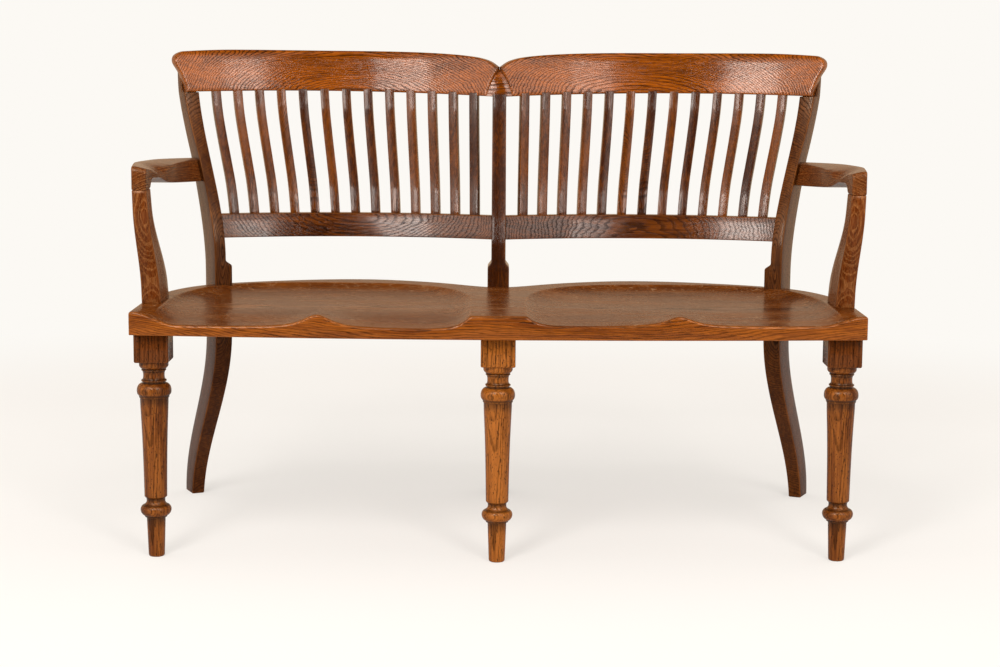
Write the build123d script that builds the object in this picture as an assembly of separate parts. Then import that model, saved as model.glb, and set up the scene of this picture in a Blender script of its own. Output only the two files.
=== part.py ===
from build123d import *
from math import asin, atan2, cos, degrees, exp, hypot, radians, sin
import os

# Chair-back settee in oak: one scooped plank seat on three turned front legs and three sabre back
# posts, two bowed half backs of thirteen slats, and two shaped arms on curved supports.
# X runs along the seat, +Y to the back, +Z up, in millimetres. Left is -X, seen from the front.
# Every shape is drawn with Y = 0 at the front corners of the seat. The last step moves it all so
# that the origin lies on the floor under the middle of the whole settee.

# Fits
fit_gap = 0.15
overrun = 20.0

# Seat
seat_width = 1268.0
seat_height = 440.0
seat_thickness = 41.0
seat_side_depth = 110.0
seat_back_reach = 512.0
seat_valley = 402.0
seat_front_bow = 30.0
seat_valley_half_width = 22.0
lobe_outline_shares = [(0.14, 0.42), (0.24, 0.75), (0.375, 1.0), (0.52, 0.97), (0.67, 0.71), (0.80, 0.355)]
lobe_corner_shares = [(0.88, 0.68), (0.964, 0.45)]

# Scoops in the seat
scoop_depth = 13.0
scoop_middle_gap = 48.0
scoop_side_margin = 42.0
scoop_reach = 453.0
scoop_front_line = 110.0
scoop_lip_left = 23.0
scoop_lip_right = 17.0
scoop_lip_run = 190.0
scoop_rim_power = 8
pommel_inset = 10.0
pommel_width = 30.0
pommel_run = 105.0
scoop_grid_across = 46
scoop_grid_deep = 40

# Front legs: a square block over a turned shaft. Drops are from the block's underside.
front_leg_inset = 34.0
front_leg_setback = 48.0
middle_leg_setback = 24.0
leg_block = 60.0
leg_block_height = 51.0
leg_tenon_diameter = 28.0
leg_tenon_length = 24.0
leg_cup_diameter = 51.0
leg_cup_foot_diameter = 41.0
leg_collar_diameter = 43.0
leg_cove_top_diameter = 40.0
leg_cove_diameter = 37.0
leg_ring_diameter = 44.0
leg_groove_diameter = 39.0
leg_bead_diameter = 60.0
leg_fillet_diameter = 52.5
leg_shaft_top_diameter = 49.5
leg_shaft_waist_diameter = 46.0
leg_shaft_foot_diameter = 39.5
leg_ankle_diameter = 32.5
leg_ankle_foot_diameter = 40.5
leg_low_bead_diameter = 54.0
leg_low_fillet_diameter = 39.0
leg_foot_top_diameter = 33.0
leg_foot_diameter = 28.0
leg_foot_round = 3.0
leg_cup_top_drop = 7.0
leg_cup_foot_drop = 14.0
leg_collar_top_drop = 14.8
leg_cove_top_drop = 16.5
leg_cove_middle_drop = 24.5
leg_cove_foot_drop = 32.5
leg_ring_top_drop = 33.2
leg_ring_foot_drop = 35.6
leg_bead_top_drop = 38.5
leg_bead_middle_drop = 52.0
leg_bead_foot_drop = 61.2
leg_fillet_foot_drop = 64.4
leg_shaft_waist_drop = 108.0
leg_shaft_foot = 107.0
leg_ankle_top = 104.0
leg_ankle_middle = 99.0
leg_ankle_foot = 93.0
leg_low_bead_middle = 83.5
leg_low_bead_foot = 73.0
leg_low_fillet_foot = 70.8

# Back posts: one sabre curve from the floor to the crest, in a plane that turns outwards. Rises are
# from the seat's top, and insets from its side or, on the depth, from its valley.
back_splay = 25.0
post_side_inset = 96.0
post_valley_inset = 12.0
middle_post_inset = 7.0
post_depth = 63.0
post_width = 22.0
post_foot_width = 25.0
post_ear_width = 12.0
post_ear_height = 37.0
post_ear_slope = 9.0
post_top_flare = 8.0
post_flare_rise = 240.0
post_top_rise = 402.0
rake_rise = 50.0
rake_travel = 168.0
rear_rake_rise = 25.0
rear_rake_travel = 145.0
leg_sweep_drop = 59.0
leg_sweep_end = -15.0
leg_sweep_travel = 173.0
rear_sweep_travel = 153.0
rear_sweep_end = 5.0
middle_post_width = 27.0
middle_post_seat_width = 41.0
curve_steps = 7

# Crest rails
crest_rise = 357.0
crest_arch_rise = 7.0
crest_outer_rise = 5.0
crest_height = 87.0
crest_thickness = 23.0
crest_proud = 4.0
crest_lean = 0.30
crest_roll_height = 24.0
crest_roll_set = 17.0
crest_corner_reach = 68.5
crest_inner_offset = 25.5
crest_inner_angle = 21.0
crest_mitre_gap = 0.3
crest_end_height = 78.0
crest_end_flare = 18.5
crest_end_shares = [(0.0, 0.0), (0.20, 0.26), (0.62, 0.54), (1.0, 0.76), (0.82, 0.90), (0.10, 0.985), (-1.6, 1.02)]
crest_top_shares = [(0.0, 0.82), (0.055, 0.90), (0.17, 0.955), (0.55, 0.99), (0.78, 1.0), (0.92, 0.975), (1.06, 0.90)]

# Centre block between the crest rails
centre_block_recess = 10.0
centre_block_apex = 52.0

# Lower back rails
rail_rise = 89.0
rail_height = 44.0
rail_thickness = 22.0
rail_setback = 8.0
rail_end_angle = 21.0
rail_tenon_length = 12.0
rail_tenon_height = 28.0
rail_tenon_thickness = 10.0

# Slats
slat_count = 13
slat_width = 17.0
slat_thickness = 15.0
slat_inner_set_low = 54.8
slat_outer_set_low = 27.6
slat_inner_set_high = 56.8
slat_outer_set_high = 55.6
slat_tenon_width = 11.0
slat_tenon_thickness = 9.0
slat_tenon_length = 12.0
slat_section_shares = [(0.0, 0.0), (0.2, 0.15), (0.4, 0.395), (0.6, 0.655), (0.8, 0.875), (1.0, 1.0)]

# Arms
arm_front = 62.0
arm_overhang = 2.0
arm_block_width = 25.0
arm_block_length = 118.0
arm_bulge = 20.0
arm_rise = 245.0
arm_thickness = 42.0
arm_rear_drop = 11.0
arm_neck_rise = 15.0
arm_waist_dip = 10.0
arm_waist_length = 92.0
arm_waist_setback = 205.0
arm_end_inset = 13.0
arm_rear_inset = 3.0
arm_nose_round = 8.0
arm_outer_shares = [(0.15, 0.5), (0.34, 1.0), (0.55, 0.95), (0.78, 0.35)]
arm_inner_shares = [(0.447, 0.18), (0.70, 0.41), (0.90, 0.70)]
arm_underside_shares = [
    (0.03, 0.88), (0.11, 1.0), (0.19, 0.95), (0.31, 0.54), (0.41, 0.36), (0.55, 0.22), (0.76, 0.06), (1.0, 0.0)]

# Arm supports
support_base_front = 112.0
support_base_depth = 93.0
support_top_depth = 48.0
support_base_inset = 3.5
support_base_width = 34.0
support_curve_rise = 25.0
support_front_curve_drop = 31.0
support_rear_curve_drop = 33.0
support_tenon_width = 14.0
support_tenon_inset = 9.0
support_tenon_length = 22.0

# Screws that hold the posts, the crest rails, the arms and the supports
screw_shank = 5.0
screw_head = 10.0
screw_head_height = 4.0
seat_screw_length = 82.0
seat_screw_spacing = 17.0
crest_screw_length = 28.0
crest_screw_height = 20.0
block_screw_height = 12.0
middle_crest_screw_height = 33.0
middle_crest_screw_offset = 7.5
arm_screw_length = 45.0
support_screw_length = 38.0
support_screw_spacing = 24.0

# Places from the floor and from the middle, which follow the seat's height, width and depth
seat_underside = seat_height - seat_thickness
seat_half = seat_width / 2
scoop_centre = (scoop_middle_gap + seat_half - scoop_side_margin) / 2
scoop_half_width = (seat_half - scoop_side_margin - scoop_middle_gap) / 2
pommel_offset = scoop_centre - pommel_inset
front_leg_offset = seat_half - front_leg_inset
leg_block_base = seat_underside - leg_block_height
leg_cup_top = leg_block_base - leg_cup_top_drop
leg_cup_foot = leg_block_base - leg_cup_foot_drop
leg_collar_top = leg_block_base - leg_collar_top_drop
leg_cove_top = leg_block_base - leg_cove_top_drop
leg_cove_middle = leg_block_base - leg_cove_middle_drop
leg_cove_foot = leg_block_base - leg_cove_foot_drop
leg_ring_top = leg_block_base - leg_ring_top_drop
leg_ring_foot = leg_block_base - leg_ring_foot_drop
leg_bead_top = leg_block_base - leg_bead_top_drop
leg_bead_middle = leg_block_base - leg_bead_middle_drop
leg_bead_foot = leg_block_base - leg_bead_foot_drop
leg_fillet_foot = leg_block_base - leg_fillet_foot_drop
leg_shaft_waist_height = leg_block_base - leg_shaft_waist_drop
post_arris_offset = seat_half - post_side_inset
post_arris_setback = seat_valley - post_valley_inset
middle_post_setback = seat_valley - middle_post_inset
post_flare_start = seat_height + post_flare_rise
post_top = seat_height + post_top_rise
rake_start = seat_height + rake_rise
rear_rake_start = seat_height + rear_rake_rise
leg_sweep_start = seat_underside - leg_sweep_drop
crest_base = seat_height + crest_rise
crest_arch_height = crest_base + crest_arch_rise
crest_outer_base = crest_base + crest_outer_rise
crest_top = crest_base + crest_height
crest_corner_offset = post_arris_offset + crest_corner_reach
rail_base = seat_height + rail_rise
arm_height = seat_height + arm_rise
arm_block_outer = seat_half + arm_overhang
arm_bulge_offset = arm_block_outer + arm_bulge
support_base_outer = seat_half - support_base_inset
support_curve_start = seat_height + support_curve_rise
support_front_curve_end = arm_height - arm_thickness - support_front_curve_drop
support_rear_curve_end = arm_height - arm_thickness - support_rear_curve_drop
post_seat_width = post_width + post_ear_width
splay_side = sin(radians(back_splay))
splay_back = cos(radians(back_splay))


def ease(share):
    # A smooth step that leaves and arrives with no slope.
    return share * share * (3 - 2 * share)


def front_rake(height):
    # How far the front of a post has leaned back at a height between the seat and the crest.
    return rake_travel * ease((height - rake_start) / (post_top - rake_start))


def rear_of_post(height):
    share = (height - rear_rake_start) / (post_top - rear_rake_start)
    return post_depth + rear_rake_travel * ease(share)


def eased_points(base, travel, start, end, stop):
    # Points of an eased curve as (offset, height), from the start height to the stop height.
    points = []
    for step in range(curve_steps + 1):
        height = start + (stop - start) * step / curve_steps
        points.append((base + travel * ease((height - start) / (end - start)), height))
    return points


def closed_face(edges, plane):
    return plane * make_face(Wire(edges))


def on_right(point):
    # A point of the splayed post frame, with X outwards along the post's width and Y along its
    # depth, moved to the right-hand post.
    across, deep = point
    x = post_arris_offset + across * splay_back + deep * splay_side
    y = post_arris_setback - across * splay_side + deep * splay_back
    return x, y


def mirrored(shape):
    return mirror(shape, about=Plane.YZ)


def to_right_post(shape):
    return Pos(post_arris_offset, post_arris_setback, 0) * Rot(0, 0, -back_splay) * shape


def box_between(x0, x1, y0, y1, z0, z1):
    corner = Pos((x0 + x1) / 2, (y0 + y1) / 2, (z0 + z1) / 2)
    return corner * Box(abs(x1 - x0), abs(y1 - y0), abs(z1 - z0))


class BackArc:
    # A level arc for one half of the back, hollow towards the front, from the middle post to the
    # outer post. Angles are measured from +Y at the arc's centre, positive outwards.
    def __init__(self, inner, outer, end_angle):
        run = outer[0] - inner[0]
        rise = outer[1] - inner[1]
        chord = hypot(run, rise)
        tilt = degrees(atan2(-rise, run))
        half = end_angle - tilt
        self.radius = chord / (2 * sin(radians(half)))
        reach = self.radius * cos(radians(half))
        middle_x = (inner[0] + outer[0]) / 2
        middle_y = (inner[1] + outer[1]) / 2
        self.x = middle_x - reach * sin(radians(tilt))
        self.y = middle_y - reach * cos(radians(tilt))
        self.inner_angle = tilt - half
        self.outer_angle = tilt + half

    def point(self, angle, offset=0.0):
        radius = self.radius + offset
        return self.x + radius * sin(radians(angle)), self.y + radius * cos(radians(angle))

    def angle_at(self, x, offset=0.0):
        return degrees(asin((x - self.x) / (self.radius + offset)))

    def band(self, section, margin):
        # A section in (radius, height), swept round the arc and past both of its ends.
        sweep = self.outer_angle - self.inner_angle + 2 * margin
        ring = revolve(Plane.XZ * section, Axis.Z, sweep)
        return Pos(self.x, self.y, 0) * Rot(0, 0, 90 - self.outer_angle - margin) * ring

    def slat_angles(self, inner_gap, outer_gap):
        first = self.inner_angle + degrees(inner_gap / self.radius)
        last = self.outer_angle - degrees(outer_gap / self.radius)
        return [first + (last - first) * step / (slat_count - 1) for step in range(slat_count)]


def crest_underside(x):
    # Height of the crest rail's arched underside at a distance from the middle.
    share = (x - crest_inner_offset) / (crest_corner_offset - crest_inner_offset)
    chord = crest_base + (crest_outer_base - crest_base) * share
    rise = crest_arch_height - (crest_base + crest_outer_base) / 2
    return chord + 4 * rise * share * (1 - share)


rail_middle = rail_base + rail_height / 2
rail_depth_in_post = front_rake(rail_middle) + rail_setback
rail_arc = BackArc(
    (0, middle_post_setback + rail_depth_in_post), on_right((-post_width, rail_depth_in_post)), rail_end_angle)
crest_depth_in_post = front_rake(crest_base) - crest_proud
crest_arc = BackArc(
    (0, middle_post_setback + crest_depth_in_post), on_right((0, crest_depth_in_post)), back_splay)
rail_lean = (front_rake(rail_base + rail_height) - front_rake(rail_base)) / rail_height


# Seat

def seat_outline():
    span = seat_back_reach - seat_valley
    front = ThreePointArc((-seat_half, 0), (0, -seat_front_bow), (seat_half, 0))
    right_side = Line((seat_half, 0), (seat_half, seat_side_depth))
    left_side = Line((-seat_half, seat_side_depth), (-seat_half, 0))
    lobe = []
    for across_share, deep_share in lobe_outline_shares:
        lobe.append((across_share * seat_half, seat_valley + deep_share * span))
    for across_share, deep_share in lobe_corner_shares:
        lobe_y = seat_side_depth + deep_share * (seat_valley - seat_side_depth) / lobe_corner_shares[0][1]
        lobe.append((across_share * seat_half, lobe_y))
    right_points = [(seat_valley_half_width, seat_valley)] + lobe + [(seat_half, seat_side_depth)]
    left_points = [(-x, y) for x, y in reversed(right_points)]
    start_slope = (cos(radians(back_splay)), sin(radians(back_splay)))
    right_lobe = Spline(*right_points, tangents=[start_slope, (0, -1)])
    left_lobe = Spline(*left_points, tangents=[(0, 1), (start_slope[0], -start_slope[1])])
    valley = Line((-seat_valley_half_width, seat_valley), (seat_valley_half_width, seat_valley))
    return closed_face([front, right_side, right_lobe, valley, left_lobe, left_side], Plane.XY)


def scoop_height(across, y, lip):
    # Height of one scoop's floor against the seat top. It is a shallow dish with a steep rim at
    # the sides and the back. It runs out over the front edge on both sides of the pommel.
    beside = abs(across - scoop_centre) / scoop_half_width
    behind = max(y - scoop_front_line, 0) / (scoop_reach - scoop_front_line)
    rim = (beside ** 3 + behind ** 3) ** (1 / 3)
    front_share = max(1 - (y + seat_front_bow) / scoop_lip_run, 0)
    depth = scoop_depth + (lip - scoop_depth) * ease(front_share)
    pommel_back = exp(-((y + seat_front_bow) / pommel_run) ** 2)
    pommel = pommel_back / (1 + ((across - pommel_offset) / pommel_width) ** 2)
    return -depth * (1 - rim ** scoop_rim_power) * (1 - pommel)


def scoop_cutter(side, lip):
    # The floor of the scoop as one smooth face, thickened upwards past the seat top.
    first_x = scoop_centre - scoop_half_width - overrun
    last_x = scoop_centre + scoop_half_width + overrun
    first_y = -seat_front_bow - overrun
    last_y = scoop_reach + overrun
    rows = []
    for step in range(scoop_grid_across + 1):
        across = first_x + (last_x - first_x) * step / scoop_grid_across
        row = []
        for deep_step in range(scoop_grid_deep + 1):
            y = first_y + (last_y - first_y) * deep_step / scoop_grid_deep
            row.append(Vector(side * across, y, seat_height + scoop_height(across, y, lip)))
        rows.append(row)
    floor = Face.make_surface_from_array_of_points(rows, tol=fit_gap)
    return extrude(floor, amount=seat_thickness + overrun, dir=(0, 0, 1))


def make_seat():
    seat = Pos(0, 0, seat_underside) * extrude(seat_outline(), seat_thickness)
    seat -= scoop_cutter(1, scoop_lip_right)
    seat -= scoop_cutter(-1, scoop_lip_left)
    return seat


# Front legs

def leg_profile():
    # Right-hand half of the turned profile, from the top of the tenon down to the foot.
    tenon_top = seat_underside + leg_tenon_length
    tenon = leg_tenon_diameter / 2
    cup = leg_cup_diameter / 2
    cup_foot = leg_cup_foot_diameter / 2
    collar = leg_collar_diameter / 2
    cove_edge = leg_cove_top_diameter / 2
    ring = leg_ring_diameter / 2
    groove = leg_groove_diameter / 2
    fillet = leg_fillet_diameter / 2
    shaft_top = leg_shaft_top_diameter / 2
    shaft_foot = leg_shaft_foot_diameter / 2
    ankle = leg_ankle_diameter / 2
    ankle_foot = leg_ankle_foot_diameter / 2
    low_fillet = leg_low_fillet_diameter / 2
    foot_top = leg_foot_top_diameter / 2
    foot = leg_foot_diameter / 2
    above = [
        (0, tenon_top), (tenon, tenon_top), (tenon, leg_block_base), (cup, leg_block_base), (cup, leg_cup_top)]
    collar_steps = [
        (cup_foot, leg_cup_foot), (collar, leg_collar_top), (collar, leg_cove_top), (cove_edge, leg_cove_top)]
    ring_steps = [
        (cove_edge, leg_cove_foot), (ring, leg_ring_top), (ring, leg_ring_foot), (groove, leg_ring_foot),
        (groove, leg_bead_top)]
    shaft_steps = [
        (fillet, leg_bead_foot), (fillet, leg_fillet_foot), (shaft_top, leg_fillet_foot)]
    ankle_steps = [(shaft_foot, leg_shaft_foot), (ankle, leg_ankle_top)]
    foot_steps = [
        (low_fillet, leg_low_bead_foot), (low_fillet, leg_low_fillet_foot), (foot_top, leg_low_fillet_foot),
        (foot, leg_foot_round)]
    below = [(foot - leg_foot_round, 0), (0, 0), (0, tenon_top)]
    curves = [
        Spline(above[-1], collar_steps[0], tangents=[(0, -1), (-1, -1)]),
        ThreePointArc(collar_steps[-1], (leg_cove_diameter / 2, leg_cove_middle), ring_steps[0]),
        ThreePointArc(ring_steps[-1], (leg_bead_diameter / 2, leg_bead_middle), shaft_steps[0]),
        Spline(shaft_steps[-1], (leg_shaft_waist_diameter / 2, leg_shaft_waist_height), ankle_steps[0]),
        ThreePointArc(ankle_steps[-1], (ankle, leg_ankle_middle), (ankle_foot, leg_ankle_foot)),
        ThreePointArc(
            (ankle_foot, leg_ankle_foot), (leg_low_bead_diameter / 2, leg_low_bead_middle), foot_steps[0]),
        Spline(foot_steps[-1], below[0], tangents=[(0, -1), (-1, 0)]),
    ]
    edges = list(curves)
    for steps in (above, collar_steps, ring_steps, shaft_steps, ankle_steps, foot_steps, below):
        edges.extend(Line(first, second) for first, second in zip(steps, steps[1:]))
    return closed_face(edges, Plane.XZ)


def make_front_leg(x, y):
    turned = revolve(leg_profile(), Axis.Z)
    half = leg_block / 2
    block = box_between(-half, half, -half, half, leg_block_base, seat_underside)
    return Pos(x, y, 0) * (turned + block)


def leg_mortise(x, y):
    depth = leg_tenon_length + fit_gap
    hole = Cylinder(leg_tenon_diameter / 2 + fit_gap, depth + overrun)
    return Pos(x, y, seat_underside + (depth - overrun) / 2) * hole


# Back posts, drawn with the front face on Y = 0 and the outer face on X = 0

def post_side_face():
    lower_front = eased_points(0, leg_sweep_travel, leg_sweep_start, leg_sweep_end, 0)
    upper_front = eased_points(0, rake_travel, rake_start, post_top, post_top)
    upper_rear = eased_points(post_depth, rear_rake_travel, rear_rake_start, post_top, post_top)
    lower_rear = eased_points(post_depth, rear_sweep_travel, leg_sweep_start, rear_sweep_end, rear_sweep_end)
    foot_rear = (lower_rear[-1][0], 0)
    edges = [
        Spline(*reversed(lower_front)),
        Line(lower_front[0], upper_front[0]),
        Spline(*upper_front),
        Line(upper_front[-1], upper_rear[-1]),
        Spline(*reversed(upper_rear)),
        Line(upper_rear[0], lower_rear[0]),
        Spline(*lower_rear),
        Line(lower_rear[-1], foot_rear),
        Line(foot_rear, lower_front[-1]),
    ]
    return closed_face(edges, Plane.YZ)


def ear_edges(inner, side, foot_inner, seat_inner):
    # The inner edge of a post from the top down: plain, the ear's sloping shoulder, the ear's
    # side, and the taper below the seat to the foot. The side is -1 where the edge faces -X.
    shoulder = seat_height + post_ear_height
    slope_top = shoulder + post_ear_slope
    return [
        (side * inner, post_top),
        (side * inner, slope_top),
        (side * seat_inner, shoulder),
        (side * seat_inner, seat_underside),
        (side * foot_inner, 0),
    ]


def post_front_face():
    inner = ear_edges(post_width, -1, post_foot_width, post_seat_width)
    outer = [(0, 0), (0, post_flare_start), (post_top_flare, crest_outer_base), (post_top_flare, post_top)]
    return closed_face(Polyline(*inner, *outer, close=True).edges(), Plane.XZ)


def middle_post_front_face():
    half = middle_post_width / 2
    seat_half_width = middle_post_seat_width / 2
    left = ear_edges(half, -1, half, seat_half_width)
    right = [(-x, z) for x, z in reversed(left)]
    return closed_face(Polyline(*left, *right, close=True).edges(), Plane.XZ)


def make_post(front_face):
    plank = extrude(post_side_face(), seat_half, both=True)
    return plank & extrude(front_face, seat_half, both=True)


def post_housing(inner, outer):
    # The square notch that lets a post into the seat's back edge.
    return box_between(
        inner - fit_gap, outer + fit_gap, -fit_gap, post_depth + seat_half,
        seat_underside - overrun, seat_height + overrun)


# Crest rails

def crest_section():
    # Section in (radius, height): a leaning plank whose front rolls back at the top.
    radius = crest_arc.radius
    base = crest_base - overrun
    lean_base = -crest_lean * overrun
    roll_base = crest_top - crest_roll_height
    front_at_roll = crest_lean * (roll_base - crest_base)
    rear_at_top = crest_lean * (crest_top - crest_base) + crest_thickness
    front_at_top = front_at_roll + crest_roll_set
    edges = [
        Line((radius + lean_base, base), (radius + front_at_roll, roll_base)),
        Spline(
            (radius + front_at_roll, roll_base), (radius + front_at_top, crest_top),
            tangents=[(crest_lean, 1), (1, crest_lean)]),
        Line((radius + front_at_top, crest_top), (radius + rear_at_top, crest_top)),
        Line((radius + rear_at_top, crest_top), (radius + lean_base + crest_thickness, base)),
        Line((radius + lean_base + crest_thickness, base), (radius + lean_base, base)),
    ]
    return make_face(Wire(edges))


def crest_bed():
    # The space that a post gives up to the crest rail and to all that lies in front of it.
    radius = crest_arc.radius
    rise = crest_top - crest_base + overrun
    lean = crest_lean * rise
    front = radius - crest_thickness - overrun
    points = [
        (front, crest_base - overrun), (front, crest_base + rise),
        (radius + lean + crest_thickness, crest_base + rise),
        (radius - crest_lean * overrun + crest_thickness, crest_base - overrun)]
    bed = crest_arc.band(make_face(Polyline(*points, close=True)), back_splay / 2)
    return bed & extrude(crest_long_face(), seat_width, both=True)


def underside_points():
    # The arched underside, from past the middle to past the outer tip, as three points in (X, Z).
    first = -overrun
    last = crest_corner_offset + crest_end_flare + overrun
    return [(x, crest_underside(x)) for x in (first, (first + last) / 2, last)]


def crest_long_face():
    # The rail's arched underside and its gently humped top, seen from the front.
    length = crest_corner_offset - crest_inner_offset
    height = crest_top - crest_base
    top_points = []
    for along_share, up_share in crest_top_shares:
        top_points.append((crest_inner_offset + along_share * length, crest_base + up_share * height))
    start, middle, end = underside_points()
    first, last = start[0], end[0]
    edges = [
        ThreePointArc(start, middle, end),
        Line(end, (last, top_points[-1][1])),
        Line((last, top_points[-1][1]), top_points[-1]),
        Spline(*reversed(top_points)),
        Line(top_points[0], (first, top_points[0][1])),
        Line((first, top_points[0][1]), start),
    ]
    return closed_face(edges, Plane.XZ)


def crest_end_face(base):
    # The shaped end, drawn along X from the rail's bottom corner at X = 0, with the rail on -X.
    profile = []
    for flare_share, height_share in crest_end_shares:
        profile.append((flare_share * crest_end_flare, base + height_share * crest_end_height))
    top = (profile[-1][0], crest_top + overrun)
    far_top = (-seat_width, crest_top + overrun)
    far_base = (-seat_width, base - overrun)
    below = (0, base - overrun)
    edges = [
        Spline(*profile, tangents=[(0, 1), (-1, 0)]),
        Line(profile[-1], top),
        Line(top, far_top),
        Line(far_top, far_base),
        Line(far_base, below),
        Line(below, profile[0]),
    ]
    return closed_face(edges, Plane.XZ)


def crest_end_cutters():
    outer_angle = crest_arc.angle_at(crest_corner_offset)
    inner_angle = crest_arc.angle_at(crest_inner_offset)
    outer_x, outer_y = crest_arc.point(outer_angle)
    inner_x, inner_y = crest_arc.point(inner_angle)
    outer_end = extrude(crest_end_face(crest_outer_base), seat_width, both=True)
    inner_end = mirror(extrude(crest_end_face(crest_base), seat_width, both=True), about=Plane.YZ)
    outer_end = Pos(outer_x, outer_y, 0) * Rot(0, 0, -back_splay) * outer_end
    inner_end = Pos(inner_x, inner_y, 0) * Rot(0, 0, crest_inner_angle) * inner_end
    return outer_end, inner_end


def make_crest():
    margin = degrees((crest_end_flare + overrun) / crest_arc.radius) + back_splay / 10
    rail = crest_arc.band(crest_section(), margin)
    rail &= extrude(crest_long_face(), seat_width, both=True)
    for end in crest_end_cutters():
        rail &= end
    return rail & box_between(crest_mitre_gap / 2, seat_width, -seat_width, seat_width, 0, seat_width)


def make_centre_block(bed):
    # The small wedge that fills the gap under the two crest tips. It is set back from their faces
    # and flush with them behind, so that it bears on the middle post.
    front = crest_arc.point(crest_arc.angle_at(0))[1] + centre_block_recess
    lean = crest_lean / cos(radians(crest_inner_angle))
    low = crest_base - overrun
    high = crest_base + centre_block_apex
    far = front + post_depth
    points = [
        (front - lean * overrun, low), (front + lean * centre_block_apex, high), (far, high), (far, low)]
    slab = extrude(closed_face(Polyline(*points, close=True).edges(), Plane.YZ), crest_inner_offset)
    inner_end = crest_end_cutters()[1]
    half = bed & slab
    half -= inner_end
    return half + mirrored(half)


# Lower back rails

def rail_section():
    radius = rail_arc.radius
    top = rail_base + rail_height
    lean = rail_lean * rail_height / 2
    points = [
        (radius - lean, rail_base), (radius + lean, top),
        (radius + lean + rail_thickness, top), (radius - lean + rail_thickness, rail_base)]
    return make_face(Polyline(*points, close=True))


def rail_tenon(gap):
    # A stub tenon along X, centred on the rail's thickness.
    height = rail_tenon_height + 2 * gap
    thickness = rail_tenon_thickness + 2 * gap
    return Box(2 * rail_tenon_length + 2 * gap, thickness, height)


def rail_tenon_places():
    middle_angle = rail_arc.angle_at(middle_post_width / 2, rail_thickness / 2)
    outer_x, outer_y = rail_arc.point(rail_arc.outer_angle, rail_thickness / 2)
    inner_x, inner_y = rail_arc.point(middle_angle, rail_thickness / 2)
    return [
        Pos(inner_x, inner_y, rail_middle),
        Pos(outer_x, outer_y, rail_middle) * Rot(0, 0, -back_splay),
    ]


def make_lower_rail():
    rail = rail_arc.band(rail_section(), back_splay / 5)
    far = seat_width
    rail &= box_between(middle_post_width / 2, far, -far, far, 0, far)
    outer_limit = box_between(-2 * far, -post_width, -far, far, 0, far)
    rail &= to_right_post(outer_limit)
    for place in rail_tenon_places():
        rail += place * rail_tenon(0)
    return rail


# Slats

def slat_places():
    # For each slat, the centre of its foot and head with the turn of the arc at each. The sets
    # run from the middle of the settee and, at the outer end, from the outer post's inner face
    # below and from its outer face above.
    low_angles = rail_arc.slat_angles(slat_inner_set_low, slat_outer_set_low)
    high_angles = crest_arc.slat_angles(slat_inner_set_high, slat_outer_set_high)
    low_offset = rail_lean * rail_height / 2 + rail_thickness / 2
    places = []
    for low_angle, high_angle in zip(low_angles, high_angles):
        low = rail_arc.point(low_angle, low_offset)
        head_offset = crest_lean * (crest_arch_height - crest_base) + crest_thickness / 2
        high = crest_arc.point(high_angle, head_offset)
        places.append((low, low_angle, high, high_angle, crest_underside(high[0])))
    return places


def slat_field():
    # The space between the lower rail and the crest rail, which trims each slat to length.
    foot = rail_base + rail_height
    start, middle, end = underside_points()
    edges = [
        ThreePointArc(start, middle, end), Line(end, (end[0], foot)),
        Line((end[0], foot), (start[0], foot)), Line((start[0], foot), start)]
    return extrude(closed_face(edges, Plane.XZ), seat_width, both=True)


def make_slat(place, field):
    low, low_angle, high, high_angle, head = place
    foot = rail_base + rail_height
    reach = head + slat_tenon_length - foot
    sections = []
    for height_share, lean_share in slat_section_shares:
        x = low[0] + (high[0] - low[0]) * lean_share
        y = low[1] + (high[1] - low[1]) * lean_share
        angle = low_angle + (high_angle - low_angle) * lean_share
        place_here = Pos(x, y, foot + reach * height_share) * Rot(0, 0, -angle)
        sections.append(place_here * Rectangle(slat_width, slat_thickness))
    slat = loft(sections) & field
    for tenon in slat_tenons(place, 0):
        slat += tenon
    return slat


def slat_tenons(place, gap):
    low, low_angle, high, high_angle, head = place
    foot = rail_base + rail_height
    stub = Box(slat_tenon_width + 2 * gap, slat_tenon_thickness + 2 * gap, 2 * slat_tenon_length + 2 * gap)
    low_stub = Pos(low[0], low[1], foot) * Rot(0, 0, -low_angle) * stub
    high_stub = Pos(high[0], high[1], head) * Rot(0, 0, -high_angle) * stub
    return [low_stub, high_stub]


# Arms

def arm_plan_face(height):
    # Seen from above at one height: a narrow block over the support, a bulge outwards, and the
    # end on the post, which follows the post's lean.
    block_rear = arm_front + arm_block_length
    inner = arm_block_outer - arm_block_width
    inner_end = on_right((-fit_gap, front_rake(height) + arm_end_inset))
    outer_end = on_right((-fit_gap, rear_of_post(height) - arm_rear_inset))
    run = outer_end[1] - arm_front
    bulge = arm_bulge_offset - arm_block_outer
    outer_points = [(arm_block_outer, arm_front)]
    for run_share, bulge_share in arm_outer_shares:
        outer_points.append((arm_block_outer + bulge_share * bulge, arm_front + run_share * run))
    outer_points.append(outer_end)
    inner_run = inner_end[1] - arm_front
    inner_points = [(inner, block_rear)]
    for run_share, shift_share in arm_inner_shares:
        inner_points.append((inner + shift_share * (inner_end[0] - inner), arm_front + run_share * inner_run))
    inner_points.append(inner_end)
    edges = [
        Spline(*outer_points),
        Line(outer_end, inner_end),
        Spline(*reversed(inner_points)),
        Line((inner, block_rear), (inner, arm_front)),
        Line((inner, arm_front), (arm_block_outer, arm_front)),
    ]
    return Pos(0, 0, height) * closed_face(edges, Plane.XY)


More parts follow.
